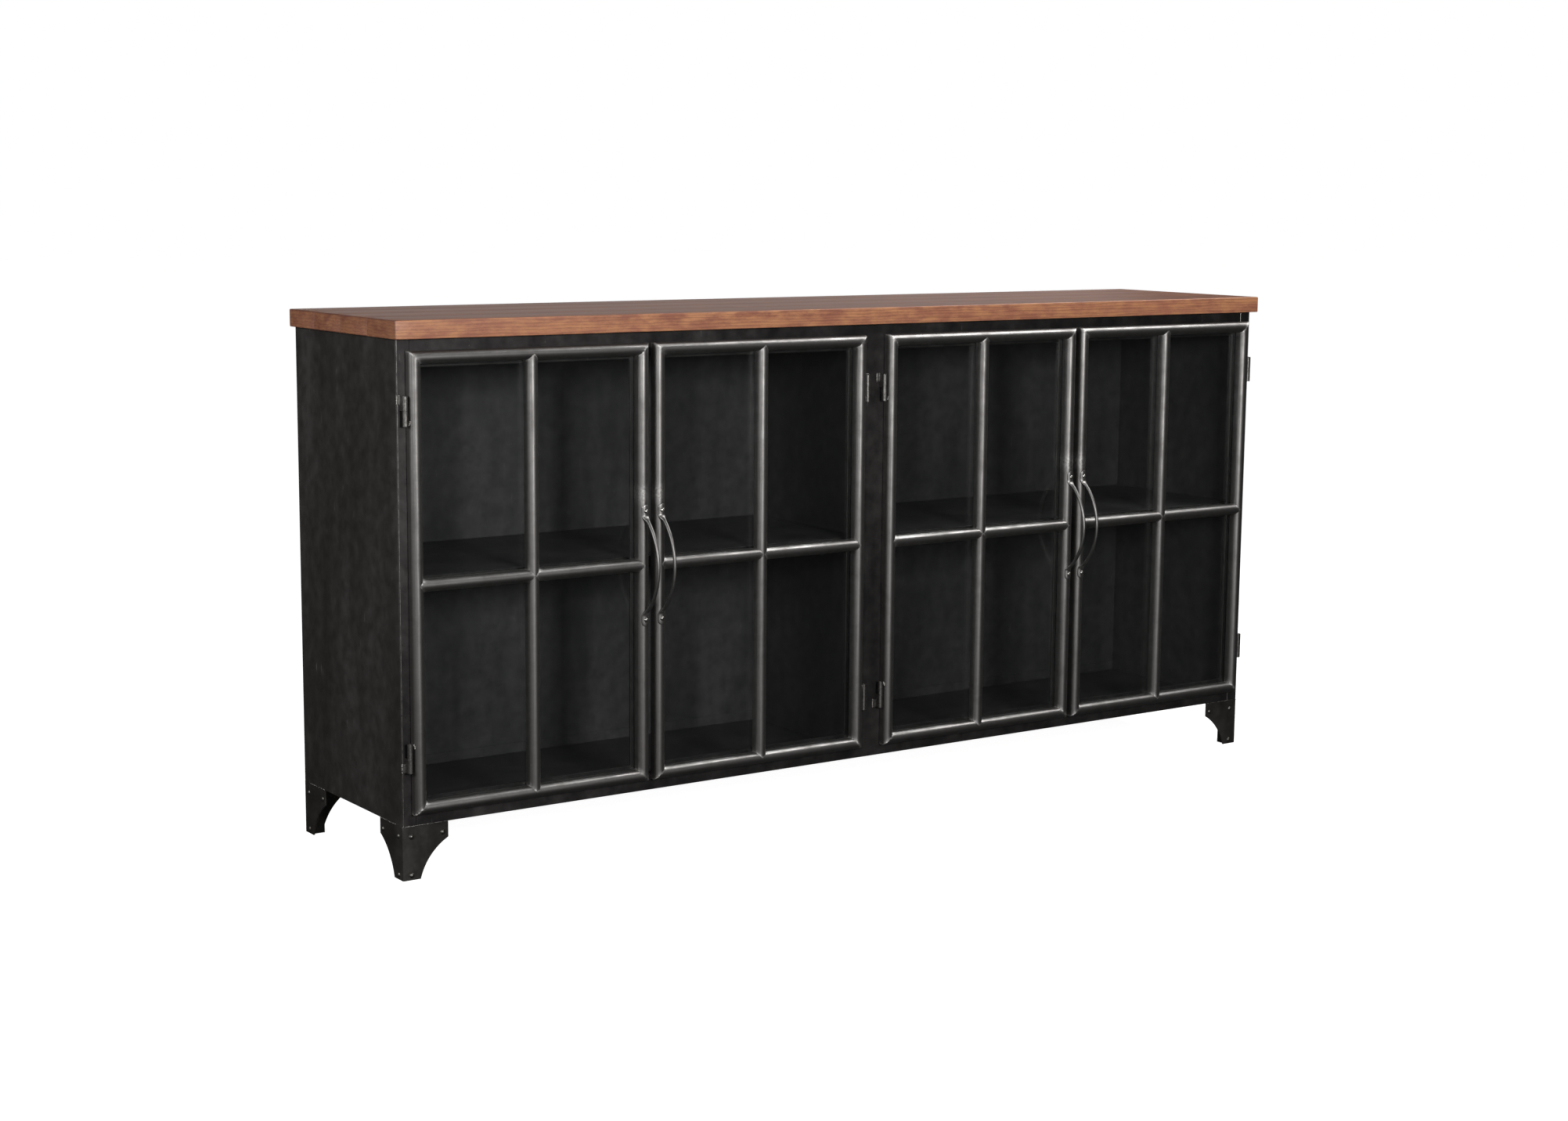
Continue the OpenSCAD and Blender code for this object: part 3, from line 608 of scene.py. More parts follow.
def add_bar(bm, start, end, inward, cut):
    """Sweeps the section from start to end. inward is the inner side, and cut says where a point ends."""
    seam_layer = bm.verts.layers.float["seam"]
    run_layer = bm.loops.layers.float_vector["run"]
    length = (end - start).length
    along = (end - start).normalized()
    middle_count = max(2, round(length / BAR_RING))
    near = [(0, offset, share) for offset, share in SEAM_SHARES]
    far = [(1, offset, share) for offset, share in reversed(SEAM_SHARES)]
    margin = SEAM_SHARES[-1][0] + BAR_W
    middle = [(None, margin + (length - 2 * margin) * i / middle_count, 0.0) for i in range(middle_count + 1)]
    around = [0.0]
    for p, q in zip(SECTION, SECTION[1:] + SECTION[:1]):
        around.append(around[-1] + math.dist(p, q))
    rings = []
    for end_side, offset, share in near + middle + far:
        ring = []
        for across, forward in SECTION:
            at = offset
            if end_side == 0:
                at = cut(across) + offset
            elif end_side == 1:
                at = length - cut(across) - offset
            rise = SEAM_RISE * share if forward > BAR_FLAT / 2 else 0.0
            out = Vector((across - BAR_R, max(0.0, forward - BAR_FLAT))).normalized() * rise
            spot = start + along * at + inward * (across + out.x) + FORWARD * (forward + out.y)
            vert = bm.verts.new(spot)
            vert[seam_layer] = share
            ring.append((vert, at))
        rings.append(ring)
    count = len(SECTION)
    for ring, after in zip(rings, rings[1:]):
        for j in range(count):
            k = (j + 1) % count
            face = bm.faces.new((ring[j][0], ring[k][0], after[k][0], after[j][0]))
            runs = ((ring[j][1], around[j]), (ring[k][1], around[j + 1]),
                    (after[k][1], around[j + 1]), (after[j][1], around[j]))
            for loop, (s, t) in zip(face.loops, runs):
                loop[run_layer] = (s + start.x * 3.7 + start.z * 2.3, t, 0.0)
    return rings


def bar_mesh():
    bm = bmesh.new()
    bm.verts.layers.float.new("seam")
    bm.loops.layers.float_vector.new("run")
    return bm


def close_ends(bm, rings):
    bm.faces.new([v for v, _ in rings[0]])
    bm.faces.new([v for v, _ in reversed(rings[-1])])


def door_frame(door):
    low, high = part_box(f"{door}_door_frame")
    back = high.y
    corners = [Vector((low.x, back, low.z)), Vector((high.x, back, low.z)),
               Vector((high.x, back, high.z)), Vector((low.x, back, high.z))]
    bm = bar_mesh()
    for i in range(4):
        a, b = corners[i], corners[(i + 1) % 4]
        inward = Vector((a.z - b.z, 0, b.x - a.x)).normalized()
        add_bar(bm, a, b, inward, mitre)
    bmesh.ops.remove_doubles(bm, verts=bm.verts, dist=0.005 * MM)
    # hands and tools have scuffed the upright just above the handle
    seam_layer = bm.verts.layers.float["seam"]
    grip_low, grip_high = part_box(f"{door}_door_handle")
    for vert in bm.verts:
        near = 1 - abs(vert.co.z - grip_high.z - SCUFF_RISE) / SCUFF_REACH
        if near > 0 and abs(vert.co.x - (grip_low.x + grip_high.x) / 2) < BAR_W:
            vert[seam_layer] = max(vert[seam_layer], SCUFF_SHARE * near)
    return link_bmesh(f"{door}_door_bars", bm, BAR, 30.0)


def door_muntins(door):
    low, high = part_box(f"{door}_door_frame")
    back = high.y - MUNTIN_SET
    x_mid, z_mid = (low.x + high.x) / 2, (low.z + high.z) / 2
    lines = [
        (Vector((x_mid - BAR_R, back, low.z + BAR_W)), Vector((x_mid - BAR_R, back, high.z - BAR_W)),
         Vector((1, 0, 0))),
        (Vector((low.x + BAR_W, back, z_mid - BAR_R)), Vector((x_mid - BAR_R, back, z_mid - BAR_R)),
         Vector((0, 0, 1))),
        (Vector((x_mid + BAR_R, back, z_mid - BAR_R)), Vector((high.x - BAR_W, back, z_mid - BAR_R)),
         Vector((0, 0, 1))),
    ]
    bm = bar_mesh()
    for start, end, inward in lines:
        close_ends(bm, add_bar(bm, start, end, inward, point))
    return link_bmesh(f"{door}_door_glazing_bars", bm, BAR, 30.0)


for door in DOORS:
    settle(door_frame(door), f"{door}_door", [f"{door}_door_frame"])
    settle(door_muntins(door), f"{door}_door", [f"{door}_door_muntins"])

# %% [markdown]
# ## Forged bow handles
# Each handle is a round rod. Its ends were heated, hammered flat over the door bar and drilled for a screw.
# The piece is lofted along its own path: the section starts as a wide flat leaf that hugs the round of the
# bar, turns outward in a tight bend, and swells to a full round within two centimetres. The other half
# mirrors it.

# %% Handles
PAD_W = 14 * MM
PAD_T = 2.4 * MM
PAD_TOP = 11 * MM        # the leaf reaches this far past the screw
BOW_ROOT = 12.5 * MM     # and the bow leaves it this far before the screw
ROD_D = 6 * MM
SWELL = 17 * MM          # length over which the leaf becomes a round rod
LEAF_FOOT = 5 * MM       # the leaf ends this far past the bow's root
BOW_SHARE = 0.93         # the rest of the bow's arc is taken up by the bend at its root
LEAF_SHAPE = 0.62        # exponent of the leaf's boxy section, where 1 is an ellipse
HEAT_MARK = 5 * MM       # brighter steel either side of the hammered end
LOFT_SIDES = 28
BOW_STEPS = 36


def handle_path(half_pitch, reach):
    """Upper half of the path as (height, distance in front of the bar, length along the path)."""
    lift = PAD_T / 2
    end_h, end_out = half_pitch - BOW_ROOT, PAD_T + 0.8 * MM
    rise = reach - ROD_D / 2 - end_out
    radius = (end_h ** 2 + rise ** 2) / (2 * rise)
    half_turn = math.asin(end_h / radius)
    spots = [(half_pitch + PAD_TOP - PAD_W / 2 * (1 - math.cos(math.pi / 2 * i / 8)), lift) for i in range(8)]
    leaf_top, leaf_end = spots[-1][0], end_h + LEAF_FOOT
    spots += [(leaf_top + (leaf_end - leaf_top) * i / 6, lift) for i in range(1, 7)]
    first = (radius * math.sin(half_turn * BOW_SHARE),
             reach - ROD_D / 2 - radius * (1 - math.cos(half_turn * BOW_SHARE)))
    corner = (end_h + 0.5 * MM, lift)
    for i in range(1, 7):
        t = i / 6
        spots.append(tuple((1 - t) ** 2 * a + 2 * t * (1 - t) * b + t * t * c
                           for a, b, c in zip(spots[13], corner, first)))
    for i in range(1, BOW_STEPS // 2 + 1):
        turn = half_turn * BOW_SHARE * (1 - i / (BOW_STEPS // 2))
        spots.append((radius * math.sin(turn), reach - ROD_D / 2 - radius * (1 - math.cos(turn))))
    path, gone = [], 0.0
    for i, spot in enumerate(spots):
        gone += math.dist(spot, spots[i - 1]) if i else 0.0
        path.append((spot[0], spot[1], gone))
    return path


def handle(door):
    low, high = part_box(f"{door}_door_handle")
    bar_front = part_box(f"{door}_door_frame")[0].y
    centre = Vector(((low.x + high.x) / 2, bar_front, (low.z + high.z) / 2))
    half_pitch = (high.z - low.z) / 2 - PAD_TOP
    upper = handle_path(half_pitch, bar_front - low.y)
    half_length = upper[-1][2]
    path = upper + [(-h, out, 2 * half_length - gone) for h, out, gone in reversed(upper[:-1])]
    bm = bar_mesh()
    seam_layer = bm.verts.layers.float["seam"]
    run_layer = bm.loops.layers.float_vector["run"]
    rings = []
    for i, (h, out, gone) in enumerate(path):
        before, after = path[max(0, i - 1)], path[min(len(path) - 1, i + 1)]
        tangent = Vector((after[0] - before[0], after[1] - before[1])).normalized()
        from_end = min(gone, 2 * half_length - gone)
        leaf_length = PAD_TOP + BOW_ROOT
        swell = min(1.0, max(0.0, (from_end - leaf_length + 6 * MM) / SWELL))
        swell = swell * swell * (3 - 2 * swell)
        tip = min(1.0, max(0.0, from_end / (PAD_W / 2)))
        tip_share = math.sqrt(max(0.0004, 1 - (1 - tip) ** 2))
        half_w = (PAD_W / 2 * (1 - swell) + ROD_D / 2 * swell) * tip_share
        half_t = (PAD_T / 2 * (1 - swell) + ROD_D / 2 * swell) * min(1.0, 0.35 + 0.65 * tip_share)
        boxy = LEAF_SHAPE + (1 - LEAF_SHAPE) * swell
        ring = []
        for j in range(LOFT_SIDES):
            turn = 2 * math.pi * j / LOFT_SIDES
            c, s = math.cos(turn), math.sin(turn)
            x = half_w * math.copysign(abs(c) ** boxy, c)
            n = half_t * math.copysign(abs(s) ** boxy, s)
            hug = (BAR_R - math.sqrt(BAR_R ** 2 - min(abs(x), BAR_R * 0.98) ** 2)) * (1 - swell)
            spot = centre + Vector((x, -(out + n * abs(tangent.x) - hug),
                                   h - n * tangent.y * math.copysign(1, tangent.x)))
            vert = bm.verts.new(spot)
            vert[seam_layer] = 0.75 * max(0.0, 1 - abs(from_end - leaf_length) / HEAT_MARK)
            ring.append(vert)
        rings.append(ring)
    skin(bm, rings)
    for face in bm.faces:
        for loop in face.loops:
            spot = loop.vert.co - centre
            loop[run_layer] = (spot.z, spot.x, 0.0)
    return link_bmesh(f"{door}_door_bow_handle", bm, HANDLE, 60.0)


for door in DOORS:
    settle(handle(door), f"{door}_door", [f"{door}_door_handle"])

# %% [markdown]
# ## Rivets and screws
# Anything that repeats is placed by Geometry Nodes: one head is turned on a lathe, and the tree puts a copy
# on every point, aimed along the point's own direction and turned by a random amount, as a screwdriver
# leaves it. The result is made real and becomes one plain mesh for each body.

# %% Lathe-turned heads
LATHE_SIDES = 32
DOME_STEPS = 7


def lathe(name, profile, slot=None):
    """A closed solid turned round Z from a profile of (radius, height) that starts and ends on the axis."""
    bm = bmesh.new()
    rings = []
    for radius, height in profile:
        if radius < 0.001 * MM:
            rings.append([bm.verts.new((0, 0, height))])
        else:
            rings.append([bm.verts.new((radius * math.cos(2 * math.pi * i / LATHE_SIDES),
                                        radius * math.sin(2 * math.pi * i / LATHE_SIDES), height))
                          for i in range(LATHE_SIDES)])
    for near, far in zip(rings, rings[1:]):
        for i in range(LATHE_SIDES):
            k = (i + 1) % LATHE_SIDES
            corners = [near[i % len(near)], near[k % len(near)], far[k % len(far)], far[i % len(far)]]
            bm.faces.new(list(dict.fromkeys(corners)))
    bmesh.ops.recalc_face_normals(bm, faces=bm.faces)
    mesh = bpy.data.meshes.new(name)
    bm.to_mesh(mesh)
    bm.free()
    head = link_mesh(name, mesh, FIXING, 40.0)
    if slot:
        width, depth, top = slot
        tool = bmesh.new()
        bmesh.ops.create_cube(tool, size=1.0)
        bmesh.ops.scale(tool, vec=(20 * MM, width, 2 * depth), verts=tool.verts)
        bmesh.ops.translate(tool, vec=(0, 0, top), verts=tool.verts)
        cutter = link_bmesh(f"{name}_cutter", tool, FIXING)
        cut = head.modifiers.new("slot", "BOOLEAN")
        cut.object = cutter
        cut.operation = "DIFFERENCE"
        cut.solver = "EXACT"
        cut_mesh = baked(head)
        discard(cutter, head)
        head = link_mesh(name, cut_mesh, FIXING, 40.0)
    return head


def dome(diameter, height):
    """Profile of a low dome, from its rim at height 0 to its crown."""
    radius = (height ** 2 + diameter ** 2 / 4) / (2 * height)
    half = math.asin(diameter / 2 / radius)
    return [(radius * math.sin(half * (1 - i / DOME_STEPS)),
            radius * math.cos(half * (1 - i / DOME_STEPS)) - radius + height)
            for i in range(DOME_STEPS + 1)]


def stud(head_d, head_h, shank_d, grip, tail_d=0.0, tail_h=0.0):
    """A whole rivet or screw: tail below, shank, then a domed head that stands on the plane z = 0."""
    profile = [(0.0, -grip - tail_h)]
    if tail_d:
        profile += [(tail_d / 2, -grip - tail_h), (tail_d / 2, -grip)]
    profile += [(shank_d / 2, -grip - (0 if tail_d else tail_h)), (shank_d / 2, 0.0),
                (head_d / 2 - 0.3 * MM, 0.0)]
    return profile + [(head_d / 2, 0.15 * MM)] + [(r, h + 0.15 * MM) for r,
                                                  h in dome(head_d, head_h - 0.15 * MM)][1:]


RIVET_D, RIVET_HEAD = 5 * MM, 9 * MM
PLATE_T, TUBE_WALL = 2.5 * MM, 2 * MM
plate_rivet = lathe("plate_rivet", stud(RIVET_HEAD, 2.5 * MM, RIVET_D, PLATE_T, 6.5 * MM, 1.5 * MM))
tube_rivet = lathe("tube_rivet", stud(RIVET_HEAD, 2.5 * MM, RIVET_D, PLATE_T + TUBE_WALL, 6.5 * MM, 1.5 * MM))
handle_screw = lathe("handle_screw", stud(8 * MM, 2.6 * MM, 4 * MM, 8 * MM),
                     slot=(1 * MM, 1.1 * MM, 2.6 * MM))
top_screw = lathe("top_screw", stud(9 * MM, 2.6 * MM, 4 * MM, 17 * MM), slot=(1 * MM, 1.1 * MM, 2.6 * MM))
catch_screw = lathe("catch_screw", stud(5.5 * MM, 1.8 * MM, 3 * MM, 6 * MM),
                    slot=(0.8 * MM, 0.8 * MM, 1.8 * MM))
print("turned 5 heads")

# %% [markdown]
# ## A tree that sets studs on points
# The tree reads the direction of each point from the attribute "aim". A fixed seed keeps the random turns the
# same every time.

# %% Studs on points
def input_id(tree, name):
    return next(i.identifier for i in tree.interface.items_tree if i.item_type == "SOCKET" and i.name == name)


def tree_with(name, sockets):
    """A geometry tree with the given named inputs, its input and output nodes."""
    tree = bpy.data.node_groups.new(name, "GeometryNodeTree")
    tree.interface.new_socket("Geometry", in_out="OUTPUT", socket_type="NodeSocketGeometry")
    for label, kind in sockets:
        tree.interface.new_socket(label, in_out="INPUT", socket_type=kind)
    return tree, add(tree, "NodeGroupInput").outputs


def close_tree(tree, geometry, finish):
    """Every tree ends the same way: instances made real, finish set."""
    real = add(tree, "GeometryNodeRealizeInstances", {"Geometry": geometry})
    smooth = add(tree, "GeometryNodeSetShadeSmooth", {"Geometry": real, "Shade Smooth": True})
    done = add(tree, "GeometryNodeSetMaterial", {"Geometry": smooth, "Material": finish})
    add(tree, "NodeGroupOutput", {"Geometry": done})
    return tree


def studs_tree():
    tree, given = tree_with("studs_on_points",
                            (("Points", "NodeSocketGeometry"), ("Stud", "NodeSocketObject"),
                             ("Turn", "NodeSocketFloat"), ("Seed", "NodeSocketInt"),
                             ("Finish", "NodeSocketMaterial")))
    shape = add(tree, "GeometryNodeObjectInfo",
                {"Object": given["Stud"], "As Instance": False}).outputs["Geometry"]
    aim = add(tree, "GeometryNodeInputNamedAttribute", {"Name": "aim"},
              data_type="FLOAT_VECTOR").outputs["Attribute"]
    facing = add(tree, "FunctionNodeAlignRotationToVector", {"Vector": aim}, axis="Z").outputs["Rotation"]
    turn = add(tree, "FunctionNodeRandomValue", {"Max": given["Turn"], "Seed": given["Seed"]},
               data_type="FLOAT")
    spin = add(tree, "FunctionNodeAxisAngleToRotation", {"Axis": (0, 0, 1), "Angle": turn.outputs[1]})
    rotation = add(tree, "FunctionNodeRotateRotation", {"Rotation": facing, "Rotate By": spin},
                   rotation_space="LOCAL")
    set_on = add(tree, "GeometryNodeInstanceOnPoints", {"Points": given["Points"], "Instance": shape,
                 "Rotation": rotation})
    return close_tree(tree, set_on, given["Finish"])


def run_tree(tree, name, mesh, values, crease):
    """Runs a tree on a mesh and returns its result as a plain mesh."""
    seed_object = bpy.data.objects.new(f"{name}_seed", mesh)
    bpy.context.scene.collection.objects.link(seed_object)
    modifier = seed_object.modifiers.new(tree.name, "NODES")
    modifier.node_group = tree
    for label, value in values.items():
        modifier[input_id(tree, label)] = value
    made = baked(seed_object)
    seed_object.modifiers.remove(modifier)
    discard(seed_object)
    made.set_sharp_from_angle(angle=math.radians(crease))
    return made


STUDS = studs_tree()
FULL_TURN = 6.28


def studs(name, places, shape, finish, seed):
    """places is a list of (point, direction)."""
    mesh = bpy.data.meshes.new(f"{name}_points")
    mesh.from_pydata([tuple(p) for p, _ in places], [], [])
    aim = mesh.attributes.new("aim", "FLOAT_VECTOR", "POINT")
    aim.data.foreach_set("vector", [c for _, a in places for c in a])
    return run_tree(STUDS, name, mesh, {"Stud": shape, "Turn": FULL_TURN, "Seed": seed, "Finish": finish},
                    40.0)


def joined(name, meshes, finish):
    """Several plain meshes as one object of one finish."""
    bm = bmesh.new()
    for mesh in meshes:
        bm.from_mesh(mesh)
    whole = bpy.data.meshes.new(name)
    bm.to_mesh(whole)
    bm.free()
    whole.materials.clear()
    whole.materials.append(finish)
    for face in whole.polygons:
        face.material_index = 0
    made = bpy.data.objects.new(name, whole)
    bpy.context.scene.collection.objects.link(made)
    return made


print("studs tree has", len(STUDS.nodes), "nodes")

# %% [markdown]
# ## Rivets of the feet
# Three rivets hold each gusset plate: two go through the leg tube and one holds the wing. They are set out
# from the plate's own corner.

# %% Foot rivets
RIVET_NEAR, RIVET_FAR, RIVET_TOP, RIVET_LOW = 16 * MM, 10 * MM, 18 * MM, 8 * MM


def foot_corner(corner):
    """The box of a gusset, the directions inward from its outer corner, and where that corner stands."""
    low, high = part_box(f"foot_gusset_{corner}")
    sx = 1 if "left" in corner else -1
    sy = 1 if "front" in corner else -1
    return low, high, sx, sy, low.x if sx > 0 else high.x, low.y if sy > 0 else high.y


def foot_places(corner):
    """(points through the tube, points through the plate alone) of one foot."""
    low, high, sx, sy, x0, y0 = foot_corner(corner)
    wing = high.x - low.x - RIVET_FAR
    top = high.z - RIVET_TOP
    in_tube, in_wing = [], []
    for across, height, group in ((RIVET_NEAR, top, in_tube), (RIVET_NEAR, RIVET_LOW, in_tube),
                                  (wing, top, in_wing)):
        group.append((Vector((x0 + sx * across, y0, height)), (0, -sy, 0)))
        group.append((Vector((x0, y0 + sy * across, height)), (-sx, 0, 0)))
    return in_tube, in_wing


tube_places, wing_places = [], []
for corner in CORNERS:
    in_tube, in_wing = foot_places(corner)
    tube_places += in_tube
    wing_places += in_wing
settle(joined("foot_rivet_set", [studs("tube_rivets", tube_places, tube_rivet, RIVET, seed=3),
                                 studs("wing_rivets", wing_places, plate_rivet, RIVET, seed=4)], RIVET),
       "carcass", ["foot_rivets"])

# %% [markdown]
# ## Screws
# Each handle has two slotted screws, the top is held from below by two rows of screws through the roof
# sheet, and two small screws hold each catch.

# %% Screws
for number, door in enumerate(DOORS):
    low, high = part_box(f"{door}_door_handle")
    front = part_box(f"{door}_door_frame")[0].y - PAD_T
    x = (low.x + high.x) / 2
    places = [(Vector((x, front, z)), (0, -1, 0)) for z in (high.z - PAD_TOP, low.z + PAD_TOP)]
    settle(joined(f"{door}_door_screw_pair",
           [studs(f"{door}_screws", places, handle_screw, FIXING, seed=7 + number)], FIXING),
           f"{door}_door", [f"{door}_door_handle_screws"])

TOP_SCREW_HEAD, TOP_SCREW_RADIUS, TOP_SCREW_ROWS = 2.6 * MM, 4.5 * MM, 4
low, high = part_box("top_screws")
margin = TOP_SCREW_RADIUS
spots = [low.x + margin + (high.x - low.x - 2 * margin) * i / (TOP_SCREW_ROWS - 1)
         for i in range(TOP_SCREW_ROWS)]
places = [(Vector((x, y, low.z + TOP_SCREW_HEAD)), (0, 0, -1)) for x in spots
          for y in (low.y + margin, high.y - margin)]
settle(joined("top_screw_set", [studs("top_fixings", places, top_screw, FIXING, seed=21)], FIXING),
       "carcass", ["top_screws"])

CATCH_T = 1.5 * MM
low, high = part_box("door_catches")
screw_low, screw_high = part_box("catch_screws")
pairs = sorted({round((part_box(f"{d}_door_strike")[0].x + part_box(f"{d}_door_strike")[1].x) / 2, 5)
                for d in DOORS})
catch_w = high.x - pairs[-1]
y = (screw_low.y + screw_high.y) / 2
places = [(Vector((x + s * 0.6 * catch_w, y, low.z + CATCH_T)), (0, 0, 1)) for x in pairs for s in (-1, 1)]
settle(joined("catch_screw_set", [studs("catch_fixings", places, catch_screw, FIXING, seed=31)], FIXING),
       "carcass", ["catch_screws"])
discard(plate_rivet, tube_rivet, handle_screw, top_screw, catch_screw)

# %% [markdown]
# ## Weld beads
# Short beads hold the hinges to the frame and to the doors. A bead is a row of ripples: the tree walks
# along each line, drops an uneven lump at every step, leaves some out where the welder stopped, and turns
# the rest to one mesh.

# %% A tree that lays weld beads along lines
def beads_tree():
    tree, given = tree_with("weld_beads", (("Lines", "NodeSocketGeometry"), ("Ripple", "NodeSocketFloat"),
                            ("Width", "NodeSocketFloat"), ("Skipped", "NodeSocketFloat"),
                            ("Seed", "NodeSocketInt"),
                            ("Finish", "NodeSocketMaterial")))
    curve = add(tree, "GeometryNodeMeshToCurve", {"Mesh": given["Lines"]})
    walk = add(tree, "GeometryNodeCurveToPoints", {"Curve": curve, "Length": given["Ripple"]}, mode="LENGTH")
    keep = add(tree, "FunctionNodeRandomValue", {"Probability": given["Skipped"], "Seed": given["Seed"]},
               data_type="BOOLEAN").outputs[3]
    left = add(tree, "GeometryNodeDeleteGeometry", {"Geometry": walk.outputs["Points"], "Selection": keep},
               domain="POINT")
    lump = add(tree, "GeometryNodeMeshIcoSphere", {"Radius": 1.0, "Subdivisions": 3})
    size = add(tree, "FunctionNodeRandomValue",
               {0: (0.75, 0.75, 0.9), 1: (1.15, 1.15, 1.3), "Seed": given["Seed"]},
               data_type="FLOAT_VECTOR")
    scale = add(tree, "ShaderNodeVectorMath", {0: size, "Scale": given["Width"]}, operation="SCALE")
    laid = add(tree, "GeometryNodeInstanceOnPoints", {"Points": left, "Instance": lump, "Scale": scale,
               "Rotation": walk.outputs["Rotation"]})
    return close_tree(tree, laid, given["Finish"])


BEADS = beads_tree()


def weld(name, lines, body, ripple, width, seed, skipped=0.0):
    """Beads along a list of (start, end) lines."""
    mesh = bpy.data.meshes.new(f"{name}_lines")
    points = [tuple(p) for line in lines for p in line]
    mesh.from_pydata(points, [(2 * i, 2 * i + 1) for i in range(len(lines))], [])
    values = {"Ripple": ripple, "Width": width, "Skipped": skipped, "Seed": seed, "Finish": WELD}
    return settle(joined(name, [run_tree(BEADS, name, mesh, values, 180.0)], WELD), body, ())


KNUCKLE_LEN, KNUCKLE_HALF_GAP = 24 * MM, 0.2 * MM
TAB_H, TAB_OUT, TAB_TOP, HINGE_OUT = 14 * MM, 9.25 * MM, 6 * MM, 6 * MM
DOOR_BEADS = ((1.0 * MM, 1.5 * MM, 0.4), (2.0 * MM, 2.0 * MM, 0.2))     # out, forward, share of TAB_H
BEAD_FORWARD, BEAD_ABOVE = 1.5 * MM, 2 * MM     # where they start, from the hinge's axis and its foot
axes = {j["child"]: Vector(j["pos_m"]) for j in frame["record"]["behaviour"]["joints"]}
face_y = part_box("face_stile_left")[0].y
fixed_lines = []
for number, door in enumerate(DOORS):
    axis = axes[f"{door}_door"]
    side = 1 if HINGED_LEFT[door] else -1
    low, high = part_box(f"{door}_door_knuckles")
    door_lines = []
    for height, up in ((high.z + KNUCKLE_HALF_GAP, 1), (low.z - KNUCKLE_HALF_GAP, -1)):
        end = height + up * (KNUCKLE_HALF_GAP + KNUCKLE_LEN)
        tab_x = axis.x - side * TAB_OUT
        fixed_lines.append((Vector((tab_x, face_y, end)), Vector((tab_x, face_y, end - up * TAB_H))))
        fixed_lines.append((Vector((tab_x, face_y, end)), Vector((tab_x + side * TAB_TOP, face_y, end))))
        foot = height - up * (KNUCKLE_HALF_GAP + KNUCKLE_LEN)
        strap = Vector((axis.x + side * HINGE_OUT, axis.y - BEAD_FORWARD, foot + up * BEAD_ABOVE))
        for out, ahead, share in DOOR_BEADS:
            door_lines.append((strap, strap + Vector((side * out, -ahead, up * TAB_H * share))))
    weld(f"{door}_door_hinge_welds", door_lines, f"{door}_door", 1.1 * MM, 1.7 * MM, seed=40 + number)
weld("frame_hinge_welds", fixed_lines, "carcass", 0.9 * MM, 1.3 * MM, seed=50, skipped=0.15)

# %% [markdown]
# ## Welds of the feet and of the face frame
# The gussets are stitched to the underside of the body, with gaps, and the stitches were ground almost flush.

# %% Foot stitches
STITCHES = ((0.30, 0.62), (0.70, 0.86), (0.92, 0.98))
foot_lines = []
for corner in CORNERS:
    low, high, sx, sy, x0, y0 = foot_corner(corner)
    wing = high.x - low.x
    for a, b in STITCHES:
        foot_lines.append((Vector((x0 + sx * a * wing, y0, high.z)),
                          Vector((x0 + sx * b * wing, y0, high.z))))
        foot_lines.append((Vector((x0, y0 + sy * a * wing, high.z)),
                          Vector((x0, y0 + sy * b * wing, high.z))))
    foot_lines.append((Vector((x0, y0, high.z - 1 * MM)), Vector((x0 + sx * 2 * MM, y0, high.z + 1 * MM))))
weld("foot_stitches", foot_lines, "carcass", 1.3 * MM, 0.75 * MM, seed=60, skipped=0.15)

RAIL_JOINT = 131 * MM     # the top rail looks made up of lengths, joined this far from each end of the body
RAIL_BEADS = ((1 * MM, 7 * MM), (12 * MM, 16 * MM))     # start and end of each bead below the top of the rail
BEAD_SINK = 0.15 * MM
rail_low, rail_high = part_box("face_rail_top")
side_low, side_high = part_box("side_panel_left")[0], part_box("side_panel_right")[1]
rail_lines = []
for x in (side_low.x + RAIL_JOINT, side_high.x - RAIL_JOINT):
    for upper, lower in RAIL_BEADS:
        rail_lines.append([Vector((x, rail_low.y + BEAD_SINK, rail_high.z - depth))
                           for depth in (upper, lower)])
weld("rail_joint_welds", rail_lines, "carcass", 0.7 * MM, 0.4 * MM, seed=70, skipped=0.25)

# %% [markdown]
# ## Floor, lights and camera
# The studio has five softboxes. The one overhead stands far to the right, so the bright line along the top of
# each level bar grows towards that end. The front one is the main light, and throws the dark bands behind the
# meeting door bars. The left and front left ones draw the lines down the upright bars, and the rear one keeps
# the back from going black. The camera stands a little above the top, 35 degrees round to the left.
# The white all round is for the camera alone: the floor glows only for direct views, and the surroundings are
# white to a direct view, nearly black in mirrors and dim for everything else. Otherwise they would wash out
# the dark steel and the glass. The glow is so strong that the floor shows next to no shadow.

# %% Studio
FLOOR_GLOW = 0.93


def pale_floor():
    material, tree = new_material("pale_studio_floor")
    place = add(tree, "ShaderNodeTexCoord").outputs["Object"]
    cloud = add(tree, "ShaderNodeTexNoise", {"Vector": place, "Scale": 1.5, "Detail": 2.0})
    tint = add(tree, "ShaderNodeMix", {MIX_FACTOR: cloud, MIX_A: linear("#B4B4B3"), MIX_B: linear("#BCBCBB")},
               data_type="RGBA").outputs[MIX_COLOUR]
    direct = add(tree, "ShaderNodeLightPath").outputs["Is Camera Ray"]
    glow = add(tree, "ShaderNodeMath", {0: direct, 1: FLOOR_GLOW}, operation="MULTIPLY")
    shader = add(tree, "ShaderNodeBsdfPrincipled",
                 {"Base Color": tint, "Roughness": 0.9, "Emission Color": (1, 1, 1, 1),
                  "Emission Strength": glow})
    add(tree, "ShaderNodeOutputMaterial", {"Surface": shader})
    return material


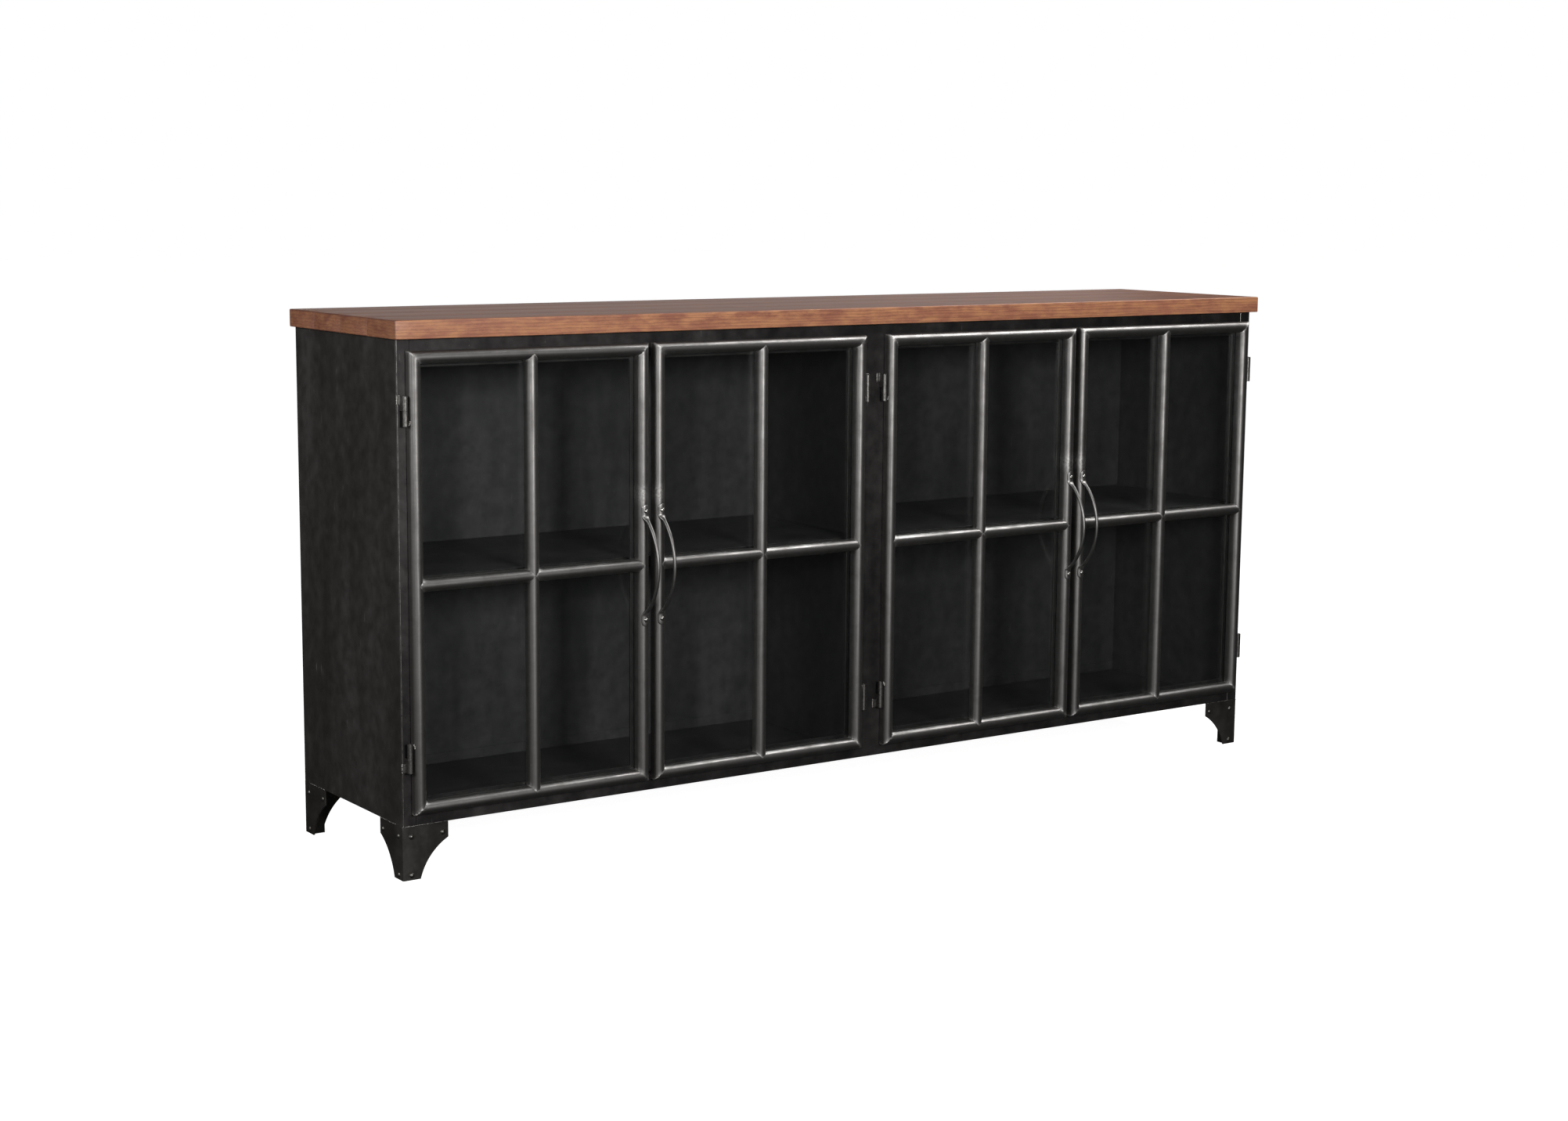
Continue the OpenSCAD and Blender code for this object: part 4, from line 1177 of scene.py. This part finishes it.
bm = bmesh.new()
bmesh.ops.create_grid(bm, x_segments=4, y_segments=4, size=30.0)
floor = link_bmesh("studio_floor", bm, pale_floor())
floor.visible_glossy = False
floor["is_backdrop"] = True


def softbox(name, place, target, size, watts):
    lamp = bpy.data.lights.new(name, "AREA")
    lamp.shape = "RECTANGLE"
    lamp.size, lamp.size_y = size
    lamp.energy = watts
    made = bpy.data.objects.new(name, lamp)
    made.location = place
    made.rotation_euler = (Vector(target) - Vector(place)).to_track_quat("-Z", "Y").to_euler()
    made.visible_camera = False
    bpy.context.scene.collection.objects.link(made)
    return made


softbox("overhead_softbox", (1.9, -0.7, 2.8), (0.3, -0.2, 0.6), (1.9, 1.1), 66)
softbox("front_softbox", (-0.97, -4.0, 1.46), (0.0, 0.0, 0.6), (0.8, 0.7), 108)
softbox("left_softbox", (-3.5, -0.25, 1.8), (-0.6, 0.0, 0.7), (1.4, 1.2), 62)
softbox("front_left_softbox", (-3.4, -3.0, 1.5), (0.0, 0.0, 0.6), (1.2, 0.8), 46)
softbox("rear_softbox", (1.8, 3.2, 1.7), (0.0, 0.0, 0.9), (3.0, 1.0), 8)

world = bpy.data.worlds.new("white_studio")
bpy.context.scene.world = world
world.use_nodes = True
world.node_tree.nodes.clear()
AMBIENT, MIRRORED = 0.16, 0.03     # brightness of the surroundings for soft light and in mirrors
path = add(world.node_tree, "ShaderNodeLightPath").outputs
seen = add(world.node_tree, "ShaderNodeMapRange",
           {"Value": path["Is Camera Ray"], "To Min": AMBIENT, "To Max": 1.0})
level = add(world.node_tree, "ShaderNodeMix", {0: path["Is Glossy Ray"], 2: seen, 3: MIRRORED})
sky = add(world.node_tree, "ShaderNodeBackground", {"Color": (1, 1, 1, 1), "Strength": level})
add(world.node_tree, "ShaderNodeOutputWorld", {"Surface": sky})
bpy.context.scene.view_settings.view_transform = "Standard"

LENS, SENSOR = 57.16, 36.0     # millimetres
CAMERA_PLACE, CAMERA_TURN = (-2.688, -3.745, 1.136), (81.330, -0.463, -34.804)     # metres, degrees
camera_data = bpy.data.cameras.new("studio_camera")
camera_data.sensor_width = SENSOR
camera_data.lens = LENS
camera = bpy.data.objects.new("studio_camera", camera_data)
camera.location = CAMERA_PLACE
camera.rotation_euler = [math.radians(a) for a in CAMERA_TURN]
bpy.context.scene.collection.objects.link(camera)
bpy.context.scene.camera = camera
print("studio ready")

# %% [markdown]
# ## Measure and finish
# Both boxes, the measured one and the visual one, are printed side by side, to show whether the looks change
# the size of the object.

# %% Sizes
visual_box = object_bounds()
for label, box in (("measured", cad_box), ("visual", visual_box)):
    print(label, [round(v, 4) for v in box[0]], [round(v, 4) for v in box[1]])
